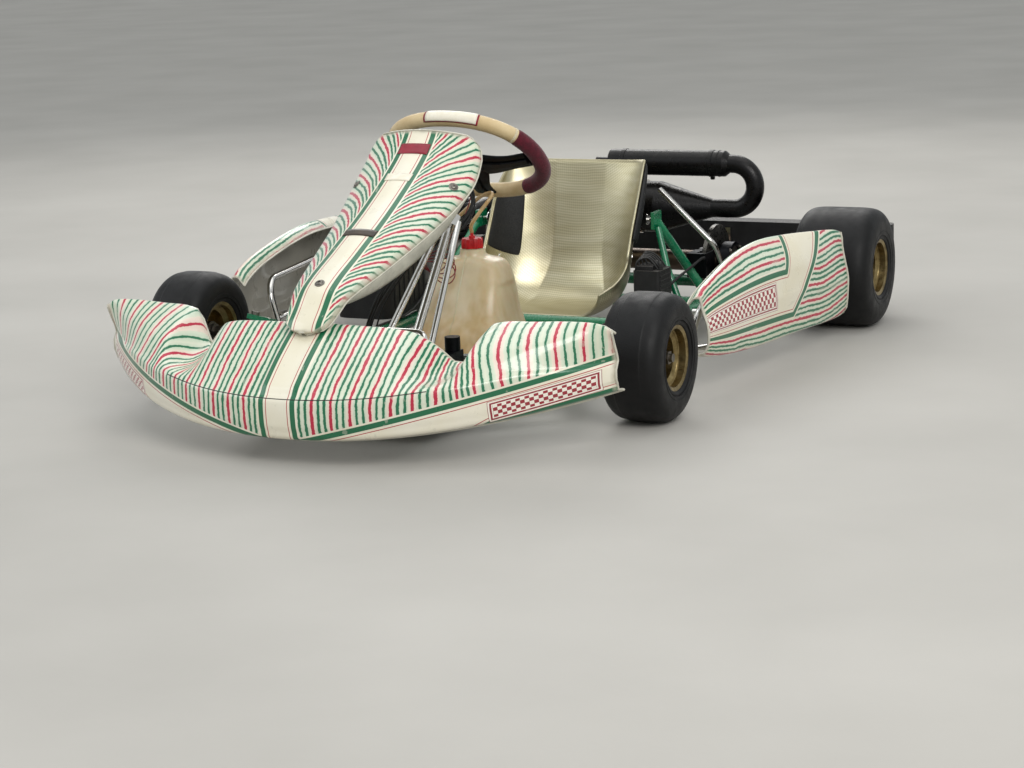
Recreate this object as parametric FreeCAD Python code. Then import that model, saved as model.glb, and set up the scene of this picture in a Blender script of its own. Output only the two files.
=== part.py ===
"""Racing kart on its four wheels, as an assembly of separate pieces.

Frame: millimetres, +Z up, nose towards -Y, the driver's left towards +X.
The origin is on the ground, under the middle of the overall length and width.
"""
import FreeCAD, Part
import math
import os

Vec = FreeCAD.Vector
os.makedirs("parts", exist_ok=True)

# ---------------------------------------------------------------- driving dimensions
HALF_LENGTH = 910.0
HALF_WIDTH = 700.0
FRONT_AXLE_Y = -350.0
REAR_AXLE_Y = 695.0

FRONT_TYRE_R = 130.0
FRONT_TYRE_W = 130.0
FRONT_OUTER_X = 592.0
REAR_TYRE_R = 140.0
REAR_TYRE_W = 190.0
BEAD_R = 63.5
RIM_FLANGE_R = 72.0
RIM_WELL_R = 56.0
RIM_INNER_R = 52.0
FRONT_DISC_OFFSET = -6.0
REAR_DISC_OFFSET = -55.0
FRONT_HUB_REACH = 38.0
STUD_R = 4.0
STUD_CIRCLE_R = 38.0
FRONT_X = FRONT_OUTER_X - FRONT_TYRE_W / 2
REAR_X = HALF_WIDTH - REAR_TYRE_W / 2
HUB_FLANGE_X = REAR_X + REAR_DISC_OFFSET - 7.1

RAIL_R = 15.0
RAIL_Z = 70.0
TRAY_Z = 48.0
TRAY_T = 3.0
SOCKET_X = 334.0

AXLE_R = 25.0
AXLE_BORE_R = 22.0
AXLE_HALF = 520.0
CARRIER_X = 320.0
DISC_X = 285.0
DISC_R = 90.0
SPROCKET_X = -235.0
SPROCKET_R = 99.0
CRANK_Y = 470.0
CRANK_Z = 165.0
DRIVE_SPROCKET_R = 20.0
CHAIN_T = 7.0
ENGINE_X = -328.0

KINGPIN_X = 395.0
KINGPIN_R = 5.0
KINGPIN_LEAN_DEG = 10.0
CASTER_DEG = 14.0
STUB_R = 8.5
STEER_ARM = Vec(372, -256, 124)
ARM_PIN_R = 4.0

COLUMN_DEG = 50.0
WHEEL_CENTRE = Vec(0, -54, 480)
COLUMN_R = 10.0
STEER_RING_R = 16.5
STEER_RING_HALF = 165.0
STEER_RING_TOP = 150.0
STEER_RING_BOTTOM = 130.0
DROP_ARM_AT = -446.0
SPOKE_AT = -11.0
SPOKE_R = 5.0

PEDAL_X = 92.0
PEDAL_LEVER_X = PEDAL_X + 34
PEDAL_PIVOT = (-520.0, 92.0)
BRAKE_ROD_Z = 118.0

EXHAUST_Y = 680.0
EXHAUST_Z = 272.0
EXHAUST_BEND_R = 54.0
EXHAUST_WALL = 1.5

FIT = 0.05
SKIN = 4.0


# ---------------------------------------------------------------- geometry helpers
def cylinder(start, end, radius):
    start, end = Vec(*start), Vec(*end)
    return Part.makeCylinder(radius, (end - start).Length, start, end - start)


def cone(start, end, radius_start, radius_end):
    start, end = Vec(*start), Vec(*end)
    return Part.makeCone(radius_start, radius_end, (end - start).Length, start, end - start)


def ring(start, end, outer, inner):
    return cylinder(start, end, outer).cut(cylinder(start, end, inner))


def block(low, high):
    low, high = Vec(*low), Vec(*high)
    size = high - low
    return Part.makeBox(size.x, size.y, size.z, low)


def soft_block(low, high, radius):
    """A box with its four vertical edges rounded."""
    solid = block(low, high)
    upright = [e for e in solid.Edges if abs(e.Vertexes[0].Z - e.Vertexes[1].Z) > 1]
    return solid.makeFillet(radius, upright)


def fused(shapes):
    result = shapes[0].multiFuse(shapes[1:])
    return result.removeSplitter()


def group(shapes):
    return Part.makeCompound(shapes)


def mirrored(shape):
    return shape.mirror(Vec(0, 0, 0), Vec(1, 0, 0))


def bent_path(points, bend):
    """A wire through the points whose inner corners are arcs of radius bend."""
    points = [Vec(*p) for p in points]
    edges = []
    start = points[0]
    for before, corner, after in zip(points, points[1:], points[2:]):
        inward = (before - corner).normalize()
        outward = (after - corner).normalize()
        half = inward.getAngle(outward) / 2
        trim = bend / math.tan(half)
        first = corner + inward * trim
        last = corner + outward * trim
        middle_dir = (inward + outward).normalize()
        middle = corner + middle_dir * (bend / math.sin(half) - bend)
        edges.append(Part.LineSegment(start, first).toShape())
        edges.append(Part.Arc(first, middle, last).toShape())
        start = last
    edges.append(Part.LineSegment(start, points[-1]).toShape())
    return Part.Wire(edges)


def bent_rod(points, radius, bend):
    """A round bar that follows bent_path."""
    if len(points) == 2:
        return cylinder(points[0], points[1], radius)
    wire = bent_path(points, bend)
    start = Vec(*points[0])
    heading = Vec(*points[1]) - start
    profile = Part.Wire(Part.makeCircle(radius, start, heading))
    return wire.makePipeShell([profile], True, True)


def turned(profile, centre_x, axis_y, axis_z):
    """Turn an (x offset, radius) outline about a line along X."""
    points = [Vec(centre_x + x, axis_y, axis_z + r) for x, r in profile]
    face = Part.Face(Part.makePolygon(points + points[:1]))
    return face.revolve(Vec(centre_x, axis_y, axis_z), Vec(1, 0, 0), 360)


def skin_section(outline, inner):
    """A closed polygon: an outline and the same outline moved to its inner side."""
    points = [Vec(*p) for p in outline] + [Vec(*p) for p in reversed(inner)]
    return Part.makePolygon(points + points[:1])


def offset_outline(outline, along_a, along_b, distance):
    """Move a polyline in the plane of two axes to its left by the distance."""
    moved = []
    for index, point in enumerate(outline):
        before = outline[max(index - 1, 0)]
        after = outline[min(index + 1, len(outline) - 1)]
        da = after[along_a] - before[along_a]
        db = after[along_b] - before[along_b]
        length = math.hypot(da, db)
        shifted = list(point)
        shifted[along_a] -= distance * db / length
        shifted[along_b] += distance * da / length
        moved.append(tuple(shifted))
    return moved


def column_point(distance, side=0.0, forward=0.0):
    """A point at a distance along the column from the steering wheel's centre.

    forward is measured across the column, towards the nose and up.
    """
    slope = math.radians(COLUMN_DEG)
    along = Vec(0, math.cos(slope), math.sin(slope))
    across = Vec(0, -math.sin(slope), math.cos(slope))
    return WHEEL_CENTRE + along * distance + across * forward + Vec(side, 0, 0)


def kingpin_axis():
    return Vec(-math.tan(math.radians(KINGPIN_LEAN_DEG)), math.tan(math.radians(CASTER_DEG)), 1).normalize()


def arm_pin(offset):
    """A place on the track rod's pin, which stands parallel to the kingpin."""
    return STEER_ARM + kingpin_axis() * offset


def at_kingpin(shape):
    """Place a shape built on a vertical local axis onto the left kingpin."""
    turn = FreeCAD.Rotation(Vec(0, 0, 1), kingpin_axis())
    placed = shape.copy()
    placed.Placement = FreeCAD.Placement(Vec(KINGPIN_X, FRONT_AXLE_Y, FRONT_TYRE_R), turn)
    return placed


def save(name, shape):
    shape.exportStep("parts/%s.step" % name)


def save_pair(name, shape):
    save(name + "_left", shape)
    save(name + "_right", mirrored(shape))


# ---------------------------------------------------------------- frame and floor
RAIL_SIDE = [(178, -610, RAIL_Z), (178, -420, RAIL_Z), (270, -130, RAIL_Z),
             (270, 150, RAIL_Z), (CARRIER_X, 430, RAIL_Z), (CARRIER_X, 812, RAIL_Z)]
OUTRIGGER = [(182, -540, RAIL_Z), (352, -405, RAIL_Z), (352, -300, RAIL_Z), (266, -150, RAIL_Z)]
CROSS_TUBE_YS = (-425.0, 225.0, 520.0, 800.0)
SEAT_TAB_LEFT = (222, 470, 268)
BUMPER_SOCKET_YS = (-60.0, 400.0)


def rail_x(y):
    """The rail's centre line at a place along the kart."""
    for (x0, y0, _), (x1, y1, _) in zip(RAIL_SIDE, RAIL_SIDE[1:]):
        if y0 <= y <= y1:
            return x0 + (x1 - x0) * (y - y0) / (y1 - y0)
    return RAIL_SIDE[-1][0]


def yoke():
    """The C-shaped bracket that holds the left kingpin."""
    back = block((-48, -13, -74), (-24, 13, 42))
    upper = block((-48, -13, 31), (12, 13, 42))
    lower = block((-48, -13, -42), (12, 13, -31))
    bore = cylinder((0, 0, -60), (0, 0, 60), KINGPIN_R + FIT)
    return at_kingpin(fused([back, upper, lower]).cut(bore))


def rail():
    spine = bent_rod(RAIL_SIDE, RAIL_R, 90)
    outrigger = bent_rod(OUTRIGGER, RAIL_R - 1, 50)
    pieces = [spine, outrigger, yoke()]
    for y in BUMPER_SOCKET_YS:
        pieces.append(cylinder((rail_x(y), y, RAIL_Z), (SOCKET_X, y, RAIL_Z), RAIL_R - 3))
    return fused(pieces)


def main_frame():
    left = rail()
    pieces = [left, mirrored(left)]
    for y in CROSS_TUBE_YS:
        pieces.append(cylinder((-rail_x(y), y, RAIL_Z), (rail_x(y), y, RAIL_Z), RAIL_R - 1))
    front_loop = [(178, -610, RAIL_Z), (178, -655, RAIL_Z), (-178, -655, RAIL_Z), (-178, -610, RAIL_Z)]
    pieces.append(bent_rod(front_loop, RAIL_R, 35))
    stay_long = [(318, 560, RAIL_Z), (268, 545, 150), SEAT_TAB_LEFT]
    stay_short = [(300, 420, RAIL_Z), (256, 440, 170), (226, 466, 255)]
    stay_right = [(-276, 250, RAIL_Z), (-236, 330, 190), (-222, 430, 268)]
    pieces.append(bent_rod(stay_long, 11, 60))
    pieces.append(bent_rod(stay_short, 8, 40))
    pieces.append(bent_rod(stay_right, 9, 60))
    pieces.append(block((214, 452, 252), (222, 500, 292)))
    pieces.append(block((-222, 412, 252), (-214, 460, 292)))
    post_top = column_point(-486)
    pieces.append(cylinder((0, -425, RAIL_Z), post_top, 11))
    for side in (1, -1):
        pieces.append(cylinder((side * 178, -596, RAIL_Z), (side * 178, -596, 176), 9))
    return fused(pieces)


def floor_tray():
    sheet = block((-196, -635, TRAY_Z), (196, 205, TRAY_Z + TRAY_T))
    upright = [e for e in sheet.Edges if abs(e.Vertexes[0].Z - e.Vertexes[1].Z) > 1]
    return sheet.makeFillet(30, upright)


def tray_bolts():
    """Round-headed bolts through the tray into the frame's tabs."""
    bolts = []
    for side in (1, -1):
        for y in (-590, -470, 180):
            bolts.append(cylinder((side * 150, y, TRAY_Z + TRAY_T), (side * 150, y, TRAY_Z + TRAY_T + 3), 8))
    return bolts


# ---------------------------------------------------------------- bumpers
def front_bumper():
    """The lower and the upper bar behind the front fairing."""
    lower = [(160, -673, 74), (160, -790, 74), (-160, -790, 74), (-160, -673, 74)]
    upper = [(178, -612, 168), (178, -720, 186), (-178, -720, 186), (-178, -612, 168)]
    return group([bent_rod(lower, 10, 60), bent_rod(upper, 8, 70)])


def side_bumper():
    """Two bent bars joined by two uprights, outboard of the left rail."""
    low = [(SOCKET_X + 1, -60, RAIL_Z), (540, -60, 84), (610, 400, 84), (SOCKET_X + 1, 400, RAIL_Z)]
    high = [(500, -60, 84), (528, -60, 190), (600, 400, 190), (560, 400, 84)]
    return fused([bent_rod(low, 10, 70), bent_rod(high, 8, 55)])


def side_bumpers():
    left = side_bumper()
    return group([left, mirrored(left)])


def rear_bumper():
    """The hollow moulded beam behind the rear tyres."""
    beam = soft_block((-672, 852, 96), (672, HALF_LENGTH, 214), 26)
    hollow = soft_block((-668, 856, 100), (668, HALF_LENGTH - SKIN, 210), 22)
    return beam.cut(hollow)


def rear_bumper_supports():
    """Bars that slide into the rail ends and bolt to the beam."""
    bars = []
    for side in (1, -1):
        rear = block((side * 250 - 20, 838, 110), (side * 250 + 20, 851, 200))
        bar = cylinder((side * CARRIER_X, 815, RAIL_Z), (side * CARRIER_X, 838, RAIL_Z), 13)
        link = cylinder((side * CARRIER_X, 828, RAIL_Z), (side * 250, 842, 130), 8)
        bars.append(fused([bar, link, rear]))
    return bars


# ---------------------------------------------------------------- bodywork
def fairing_outline(x):
    """The fairing's outer line in the plane of one x, from lower edge to upper edge."""
    reach = abs(x)
    front = -HALF_LENGTH + 300 * (reach / 565) ** 2.2
    low = 49 + 63 * (reach / 560) ** 2
    crease = 135 + 20 * (reach / 310) ** 2
    crease = min(crease, 178)
    stops = [(0, -750, 250), (150, -748, 248), (200, -735, 225), (280, -690, 178),
             (345, -650, 225), (430, -628, 246), (565, -632, 240)]
    for (x0, y0, z0), (x1, y1, z1) in zip(stops, stops[1:]):
        if x0 <= reach <= x1:
            share = (reach - x0) / (x1 - x0)
            top = (y0 + (y1 - y0) * share, z0 + (z1 - z0) * share)
    tuck = front + 34
    return [(x, tuck, low), (x, front + 6, low + 8), (x, front, crease),
            (x, (front + top[0]) / 2, (crease + top[1]) / 2 + 6), (x, top[0], top[1]),
            (x, top[0] + 16, top[1] - 6)]


def front_fairing():
    xs = (0, 90, 150, 200, 240, 280, 315, 345, 390, 430, 500, 565)
    stations = [-x for x in reversed(xs[1:])] + list(xs)
    sections = []
    for x in stations:
        outer = fairing_outline(x)
        sections.append(skin_section(outer, offset_outline(outer, 1, 2, -SKIN)))
    return Part.makeLoft(sections, True, True)


PANEL_LINE = [(-799, 244, 34, 4), (-770, 277, 52, 10), (-729, 317, 66, 18), (-620, 366, 88, 28),
              (-506, 417, 108, 38), (-420, 461, 126, 45), (-352, 500, 140, 50), (-300, 540, 142, 50),
              (-276, 568, 118, 38)]


def panel_section(y, z, half, drop, lean_y, lean_z, thickness):
    """A crowned strip across the number panel; lean is the panel's upward normal."""
    def at(x, down):
        return Vec(x, y - lean_y * down, z - lean_z * down)
    top = Part.Arc(at(-half, drop), at(0, 0), at(half, drop)).toShape()
    under = Part.Arc(at(half, drop + thickness), at(0, thickness), at(-half, drop + thickness)).toShape()
    right = Part.LineSegment(at(half, drop), at(half, drop + thickness)).toShape()
    left = Part.LineSegment(at(-half, drop + thickness), at(-half, drop)).toShape()
    return Part.Wire([top, right, under, left])


def front_panel():
    sections = []
    for index, (y, z, half, drop) in enumerate(PANEL_LINE):
        before = PANEL_LINE[max(index - 1, 0)]
        after = PANEL_LINE[min(index + 1, len(PANEL_LINE) - 1)]
        run, rise = after[0] - before[0], after[1] - before[1]
        length = math.hypot(run, rise)
        sections.append(panel_section(y, z, half, drop, -rise / length, run / length, 3))
    return Part.makeLoft(sections, True, True)


POD_STATIONS = [(-150, 580, 558, 216, 92), (-60, 592, 560, 248, 76), (60, 606, 562, 272, 66),
                (180, 622, 572, 282, 62), (300, 638, 590, 276, 60), (420, 655, 618, 266, 56),
                (530, 668, 645, 254, 54)]


def side_pod():
    """The left side pod: an outer skin, open to the middle of the kart."""
    sections = []
    for y, x_out, x_ridge, z_top, z_low in POD_STATIONS:
        middle = (z_top + z_low) / 2
        shoulder = z_top - 0.28 * (z_top - z_low)
        outer = [(x_ridge - 26, y, z_top - 20), (x_ridge, y, z_top), (x_out - 5, y, shoulder),
                 (x_out, y, middle - 20), (x_out - 6, y, z_low + 8), (x_out - 34, y, z_low)]
        sections.append(skin_section(outer, offset_outline(outer, 0, 2, -SKIN)))
    return Part.makeLoft(sections, True, True)


def pod_straps():
    """Straps that hold the left pod to the side bumper."""
    straps = []
    for y, x_bar in ((40, 556.0), (330, 600.0)):
        straps.append(block((x_bar - 10, y - 12, 96), (x_bar + 8, y + 12, 101)))
    return straps


def panel_bracket():
    """The bent bar from the column collar to the back of the number panel."""
    path = [(0, -196, 392), (0, -300, 430), (0, -420, 440)]
    return bent_rod(path, 6, 60)


def fairing_bracket():
    """The post from the upper front bumper to the panel's lower screw."""
    foot = cylinder((0, -720, 194.5), (0, -720, 214), 7)
    return fused([foot, cylinder((0, -720, 210), (0, -712, 306), 5)])


# ---------------------------------------------------------------- seat and tank
SEAT_LINE = [(284, 66, 150, 62), (330, 58, 176, 100), (400, 60, 186, 150), (462, 86, 190, 170),
             (500, 150, 190, 160), (522, 230, 190, 130), (540, 320, 188, 84), (556, 396, 172, 26)]


def seat_section(y, z, half, wall, up_y, up_z, shrink):
    """A U across the seat; up is the direction from the pan towards the driver."""
    half -= shrink
    radius = min(60.0, wall - 14)

    def at(x, rise):
        rise += shrink
        return Vec(x, y + up_y * rise, z + up_z * rise)
    bend = radius * (1 - math.cos(math.pi / 4))
    wall -= shrink
    return [Part.LineSegment(at(-half, wall), at(-half, radius)).toShape(),
            Part.Arc(at(-half, radius), at(-half + bend, bend), at(-half + radius, 0)).toShape(),
            Part.LineSegment(at(-half + radius, 0), at(half - radius, 0)).toShape(),
            Part.Arc(at(half - radius, 0), at(half - bend, bend), at(half, radius)).toShape(),
            Part.LineSegment(at(half, radius), at(half, wall)).toShape()]


def seat():
    sections = []
    for index, (y, z, half, wall) in enumerate(SEAT_LINE):
        before = SEAT_LINE[max(index - 1, 0)]
        after = SEAT_LINE[min(index + 1, len(SEAT_LINE) - 1)]
        run, rise = after[0] - before[0], after[1] - before[1]
        length = math.hypot(run, rise)
        normal = (-rise / length, run / length)
        outer = seat_section(y, z, half, wall, normal[0], normal[1], 0)
        inner = seat_section(y, z, half, wall, normal[0], normal[1], SKIN)
        left_rim = Part.LineSegment(outer[0].Vertexes[0].Point, inner[0].Vertexes[0].Point).toShape()
        right_rim = Part.LineSegment(outer[-1].Vertexes[1].Point, inner[-1].Vertexes[1].Point).toShape()
        sections.append(Part.Wire(Part.__sortEdges__(outer + [right_rim] + inner + [left_rim])))
    return Part.makeLoft(sections, True, True)


def seat_stays():
    """Chrome bars from the seat's upper corners to the axle carriers."""
    left = bent_rod([(194, 562, 332), (332, 556, 204), (322, 640, 128)], 7, 30)
    right = bent_rod([(-194, 562, 332), (-275, 590, 250), (-306, 640, 150)], 7, 30)
    return group([left, right])


def seat_fasteners():
    """Bolts with large washers that hold the seat to its brackets."""
    bolts = []
    for side, y, z in ((1, 476, 272), (-1, 436, 272)):
        start = side * 196
        bolts.append(cylinder((start, y, z), (side * 211.5, y, z), 4).fuse(
            cylinder((start, y, z), (side * 198, y, z), 13)))
    return bolts


def fuel_tank():
    """The moulded tank between the steering column and the seat."""
    levels = [(TRAY_Z + TRAY_T + 1, -100, 112, 116), (150, -75, 98, 85), (230, -56, 76, 56),
              (262, -52, 50, 40), (284, -58, 27, 27)]
    sections = []
    for z, y, half_x, half_y in levels:
        edge = min(18, half_x - 8)
        xs, ys = half_x - edge, half_y - edge
        corners = [(xs, -ys - edge), (xs + edge, -ys), (xs + edge, ys), (xs, ys + edge),
                   (-xs, ys + edge), (-xs - edge, ys), (-xs - edge, -ys), (-xs, -ys - edge)]
        points = [Vec(cx, y + cy, z) for cx, cy in corners]
        sections.append(Part.makePolygon(points + points[:1]))
    return Part.makeLoft(sections, True, True)


def fuel_cap():
    knob = cylinder((0, -58, 284.1), (0, -58, 306), 24)
    for index in range(10):
        angle = math.radians(36 * index)
        at_x, at_y = 26 * math.cos(angle), -58 + 26 * math.sin(angle)
        knob = knob.cut(cylinder((at_x, at_y, 280), (at_x, at_y, 310), 5))
    return knob


def fuel_hose():
    """The pick-up hose from the cap, looping back and down to the carburettor."""
    path = [(0, -58, 306.5), (0, -58, 350), (-120, -10, 350), (-215, 120, 262), (-256, 300, 250),
            (-262, 385, 243), (-301.5, 385, 243)]
    return bent_rod(path, 4, 16)


# ---------------------------------------------------------------- steering
SPOKE_TIPS = [(158, 22), (-158, 22), (0, -122)]


def steering_column():
    """The column with the drop arm welded near its lower end."""
    bar = cylinder(column_point(-480), column_point(-26), COLUMN_R)
    corners = [column_point(DROP_ARM_AT, side, forward)
               for side, forward in ((-14, 14), (14, 14), (32, -70), (-32, -70))]
    plate = Part.Face(Part.makePolygon(corners + corners[:1]))
    thickness = column_point(DROP_ARM_AT + 6) - column_point(DROP_ARM_AT)
    return fused([bar, plate.extrude(thickness)])


def steering_hub():
    """The boss clamped on the column, and the bolts that hold the spokes."""
    boss = cylinder(column_point(-44), column_point(-8), 19)
    disc = cylinder(column_point(-26), column_point(-17), 34)
    hub = fused([boss, disc]).cut(cylinder(column_point(-50), column_point(-26), COLUMN_R + 0.02))
    bolts = []
    for degrees in (55, 125, 225, 315):
        angle = math.radians(degrees)
        side, forward = 27 * math.cos(angle), 27 * math.sin(angle)
        bolts.append(cylinder(column_point(-10.9, side, forward), column_point(-7, side, forward), 5))
    return group([hub] + bolts)


def steering_spokes():
    """The three-spoke plate bolted on the hub."""
    spokes = [cylinder(column_point(-16.9), column_point(-11), 38)]
    for side, forward in SPOKE_TIPS:
        spokes.append(cylinder(column_point(SPOKE_AT), column_point(SPOKE_AT, side, forward), SPOKE_R))
    plate = fused(spokes)
    return plate.cut(cylinder(column_point(-50), column_point(10), 19.1))


def half_loop(height):
    """Half of the steering wheel's centre line, as an ellipse arc."""
    points = []
    for index in range(13):
        angle = math.pi * index / 12
        side = STEER_RING_HALF * math.cos(angle)
        points.append(column_point(0, side, height * math.sin(angle)))
    return points


def steering_rim():
    """The padded wheel rim, flattened at top and bottom."""
    upper = half_loop(STEER_RING_TOP)
    lower = half_loop(-STEER_RING_BOTTOM)
    loop = upper + list(reversed(lower))[1:-1]
    curve = Part.BSplineCurve()
    curve.interpolate(loop, PeriodicFlag=True)
    path = Part.Wire(curve.toShape())
    start = curve.value(curve.FirstParameter)
    heading = curve.tangent(curve.FirstParameter)[0]
    profile = Part.Wire(Part.makeCircle(STEER_RING_R, start, heading))
    rim = path.makePipeShell([profile], True, True)
    for side, forward in SPOKE_TIPS:
        rim = rim.cut(cylinder(column_point(SPOKE_AT), column_point(SPOKE_AT, side, forward), SPOKE_R + FIT))
    return rim


def column_support():
    """Two struts from the front cross tube to a collar round the column, with its bush."""
    struts = [cylinder((side * 62, -422, 88), column_point(-163, side * 19), 7) for side in (1, -1)]
    collar = cylinder(column_point(-176), column_point(-150), 22)
    body = fused([collar] + struts).cut(cylinder(column_point(-190), column_point(-140), 16.02))
    bush = ring(column_point(-176), column_point(-150), 16, COLUMN_R + FIT)
    return group([body, bush])


def spindle():
    """The left stub axle with its kingpin barrel and steering arm."""
    barrel = at_kingpin(cylinder((0, 0, -30.5), (0, 0, 30.5), 13))
    boss = cylinder((KINGPIN_X, FRONT_AXLE_Y, FRONT_TYRE_R), (KINGPIN_X + 34, FRONT_AXLE_Y, FRONT_TYRE_R), 13)
    stub = cylinder((KINGPIN_X, FRONT_AXLE_Y, FRONT_TYRE_R), (578, FRONT_AXLE_Y, FRONT_TYRE_R), STUB_R)
    root = (KINGPIN_X - 4, FRONT_AXLE_Y + 6, FRONT_TYRE_R - 12)
    arm = cone(root, arm_pin(-14), 9, 6)
    eye = cylinder(arm_pin(-20), arm_pin(-8), 10)
    stud = cylinder(arm_pin(-9), arm_pin(10), ARM_PIN_R - FIT)
    body = fused([barrel, boss, stub, arm, eye, stud])
    return body.cut(at_kingpin(cylinder((0, 0, -60), (0, 0, 60), KINGPIN_R + FIT)))


def kingpins():
    pin = at_kingpin(cylinder((0, 0, -48), (0, 0, 42.2), KINGPIN_R)).fuse(
        at_kingpin(cylinder((0, 0, 42.2), (0, 0, 49), 9)))
    return group([pin, mirrored(pin)])


def tie_rod():
    """The left track rod; its inner end floats below the column's drop arm."""
    inner = column_point(-462, 24, -56)
    direction = (inner - arm_pin(0)).normalize()
    bar = cylinder(arm_pin(0) + direction * 8, inner, 5)
    outer_eye = cylinder(arm_pin(-5.5), arm_pin(5.5), 11)
    inner_eye = cylinder(column_point(-467, 24, -56), column_point(-457, 24, -56), 10)
    body = fused([bar, outer_eye, inner_eye])
    return body.cut(cylinder(arm_pin(-24), arm_pin(16), ARM_PIN_R))


# ---------------------------------------------------------------- wheels
def tyre(centre_x, axis_y, axis_z, outer_r, width):
    """A slick tyre, open towards the rim."""
    half = width / 2
    wall = 7
    toe = BEAD_R + 1.2
    outer = [(half - 26, outer_r), (half - 12, outer_r - 6), (half - 3, outer_r - 20), (half, outer_r - 42),
             (half - 3, BEAD_R + 16), (half - 16, toe)]
    inner = [(half - 28, toe), (half - wall - 4, BEAD_R + 18), (half - wall, outer_r - 40),
             (half - 22, outer_r - 9)]
    right = outer + inner
    left = [(-along, radius) for along, radius in reversed(right)]
    return turned(right + left, centre_x, axis_y, axis_z)


def rim(centre_x, axis_y, axis_z, width, disc_offset, hub):
    """A wheel rim; hub gives the centre tube's inner radius, outer radius and half length."""
    half = width / 2 - 6
    bore, boss, reach = hub
    inner_bead = BEAD_R - 4
    face = disc_offset + 5
    back = disc_offset - 5
    outer = [(half - 34, RIM_WELL_R), (half - 26, BEAD_R), (half - 6, BEAD_R), (half - 3, RIM_FLANGE_R),
             (half, RIM_FLANGE_R), (half - 1, inner_bead), (half - 26, inner_bead), (half - 36, RIM_INNER_R)]
    disc = [(face, RIM_INNER_R), (face, boss), (disc_offset + reach, boss), (disc_offset + reach, bore),
            (disc_offset - reach, bore), (disc_offset - reach, boss), (back, boss), (back, RIM_INNER_R)]
    mirror = [(-along, radius) for along, radius in reversed(outer)]
    return turned(outer + disc + mirror, centre_x, axis_y, axis_z)


def along_x(x0, x1, radius, y, z):
    return cylinder((x0, y, z), (x1, y, z), radius)


def stud_places():
    angles = [math.radians(90 + 120 * index) for index in range(3)]
    return [(STUD_CIRCLE_R * math.cos(angle), STUD_CIRCLE_R * math.sin(angle)) for angle in angles]


def front_rim():
    hub = (17.5, 23, FRONT_HUB_REACH)
    return rim(FRONT_X, FRONT_AXLE_Y, FRONT_TYRE_R, FRONT_TYRE_W, FRONT_DISC_OFFSET, hub)


def front_bearings():
    rings = []
    middle = FRONT_X + FRONT_DISC_OFFSET
    for start in (middle - FRONT_HUB_REACH + 1, middle + FRONT_HUB_REACH - 11):
        rings.append(along_x(start, start + 10, 17.5 - FIT, FRONT_AXLE_Y, FRONT_TYRE_R).cut(
            along_x(start - 1, start + 11, STUB_R + 0.01, FRONT_AXLE_Y, FRONT_TYRE_R)))
    return rings


def front_spacers():
    rings = []
    start = KINGPIN_X + 34.5
    last = FRONT_X + FRONT_DISC_OFFSET - FRONT_HUB_REACH + 0.5
    count = 4
    step = (last - start) / count
    for index in range(count):
        low = start + step * index
        rings.append(along_x(low + 0.1, low + step - 0.4, 13, FRONT_AXLE_Y, FRONT_TYRE_R).cut(
            along_x(low - 1, low + step, STUB_R + 0.01, FRONT_AXLE_Y, FRONT_TYRE_R)))
    return rings


def front_wheel_nut():
    start = FRONT_X + FRONT_DISC_OFFSET + FRONT_HUB_REACH - 0.5
    points = [Vec(start, FRONT_AXLE_Y + 14 * math.cos(math.radians(60 * i)),
                  FRONT_TYRE_R + 14 * math.sin(math.radians(60 * i))) for i in range(7)]
    nut = Part.Face(Part.makePolygon(points)).extrude(Vec(12, 0, 0))
    return nut.cut(along_x(start - 1, start + 13, STUB_R + 0.01, FRONT_AXLE_Y, FRONT_TYRE_R))


def rear_rim():
    body = rim(REAR_X, REAR_AXLE_Y, REAR_TYRE_R, REAR_TYRE_W, REAR_DISC_OFFSET, (29, 31, 5.5))
    disc_x = REAR_X + REAR_DISC_OFFSET
    for dy, dz in stud_places():
        body = body.cut(along_x(disc_x - 10, disc_x + 10, STUD_R + 0.3, REAR_AXLE_Y + dy, REAR_TYRE_R + dz))
    return body


def rear_hub():
    """The clamp hub on the axle's end, with three studs."""
    y, z = REAR_AXLE_Y, REAR_TYRE_R
    start = HUB_FLANGE_X - 80
    parts = [along_x(start, HUB_FLANGE_X, 33, y, z), along_x(HUB_FLANGE_X - 9, HUB_FLANGE_X, 46, y, z)]
    for dy, dz in stud_places():
        parts.append(along_x(HUB_FLANGE_X - 9, HUB_FLANGE_X + 32, STUD_R, y + dy, z + dz))
    body = fused(parts)
    body = body.cut(along_x(start - 1, HUB_FLANGE_X + 1, AXLE_R + 0.02, y, z))
    return body.cut(block((start - 1, y - 1.5, z - 40), (start + 50, y + 1.5, z - 20)))


def rear_wheel_nuts():
    nuts = []
    start = REAR_X + REAR_DISC_OFFSET + 5.6
    for side in (1, -1):
        for dy, dz in stud_places():
            y, z = REAR_AXLE_Y + dy, REAR_TYRE_R + dz
            nuts.append(along_x(side * start, side * (start + 9), 7.5, y, z).cut(
                along_x(side * (start - 1), side * (start + 10), STUD_R + 0.01, y, z)))
    return nuts


# ---------------------------------------------------------------- axle, brake and chain
def rear_axle():
    y, z = REAR_AXLE_Y, REAR_TYRE_R
    bore = along_x(-AXLE_HALF - 1, AXLE_HALF + 1, AXLE_BORE_R, y, z)
    return along_x(-AXLE_HALF, AXLE_HALF, AXLE_R, y, z).cut(bore)


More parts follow.
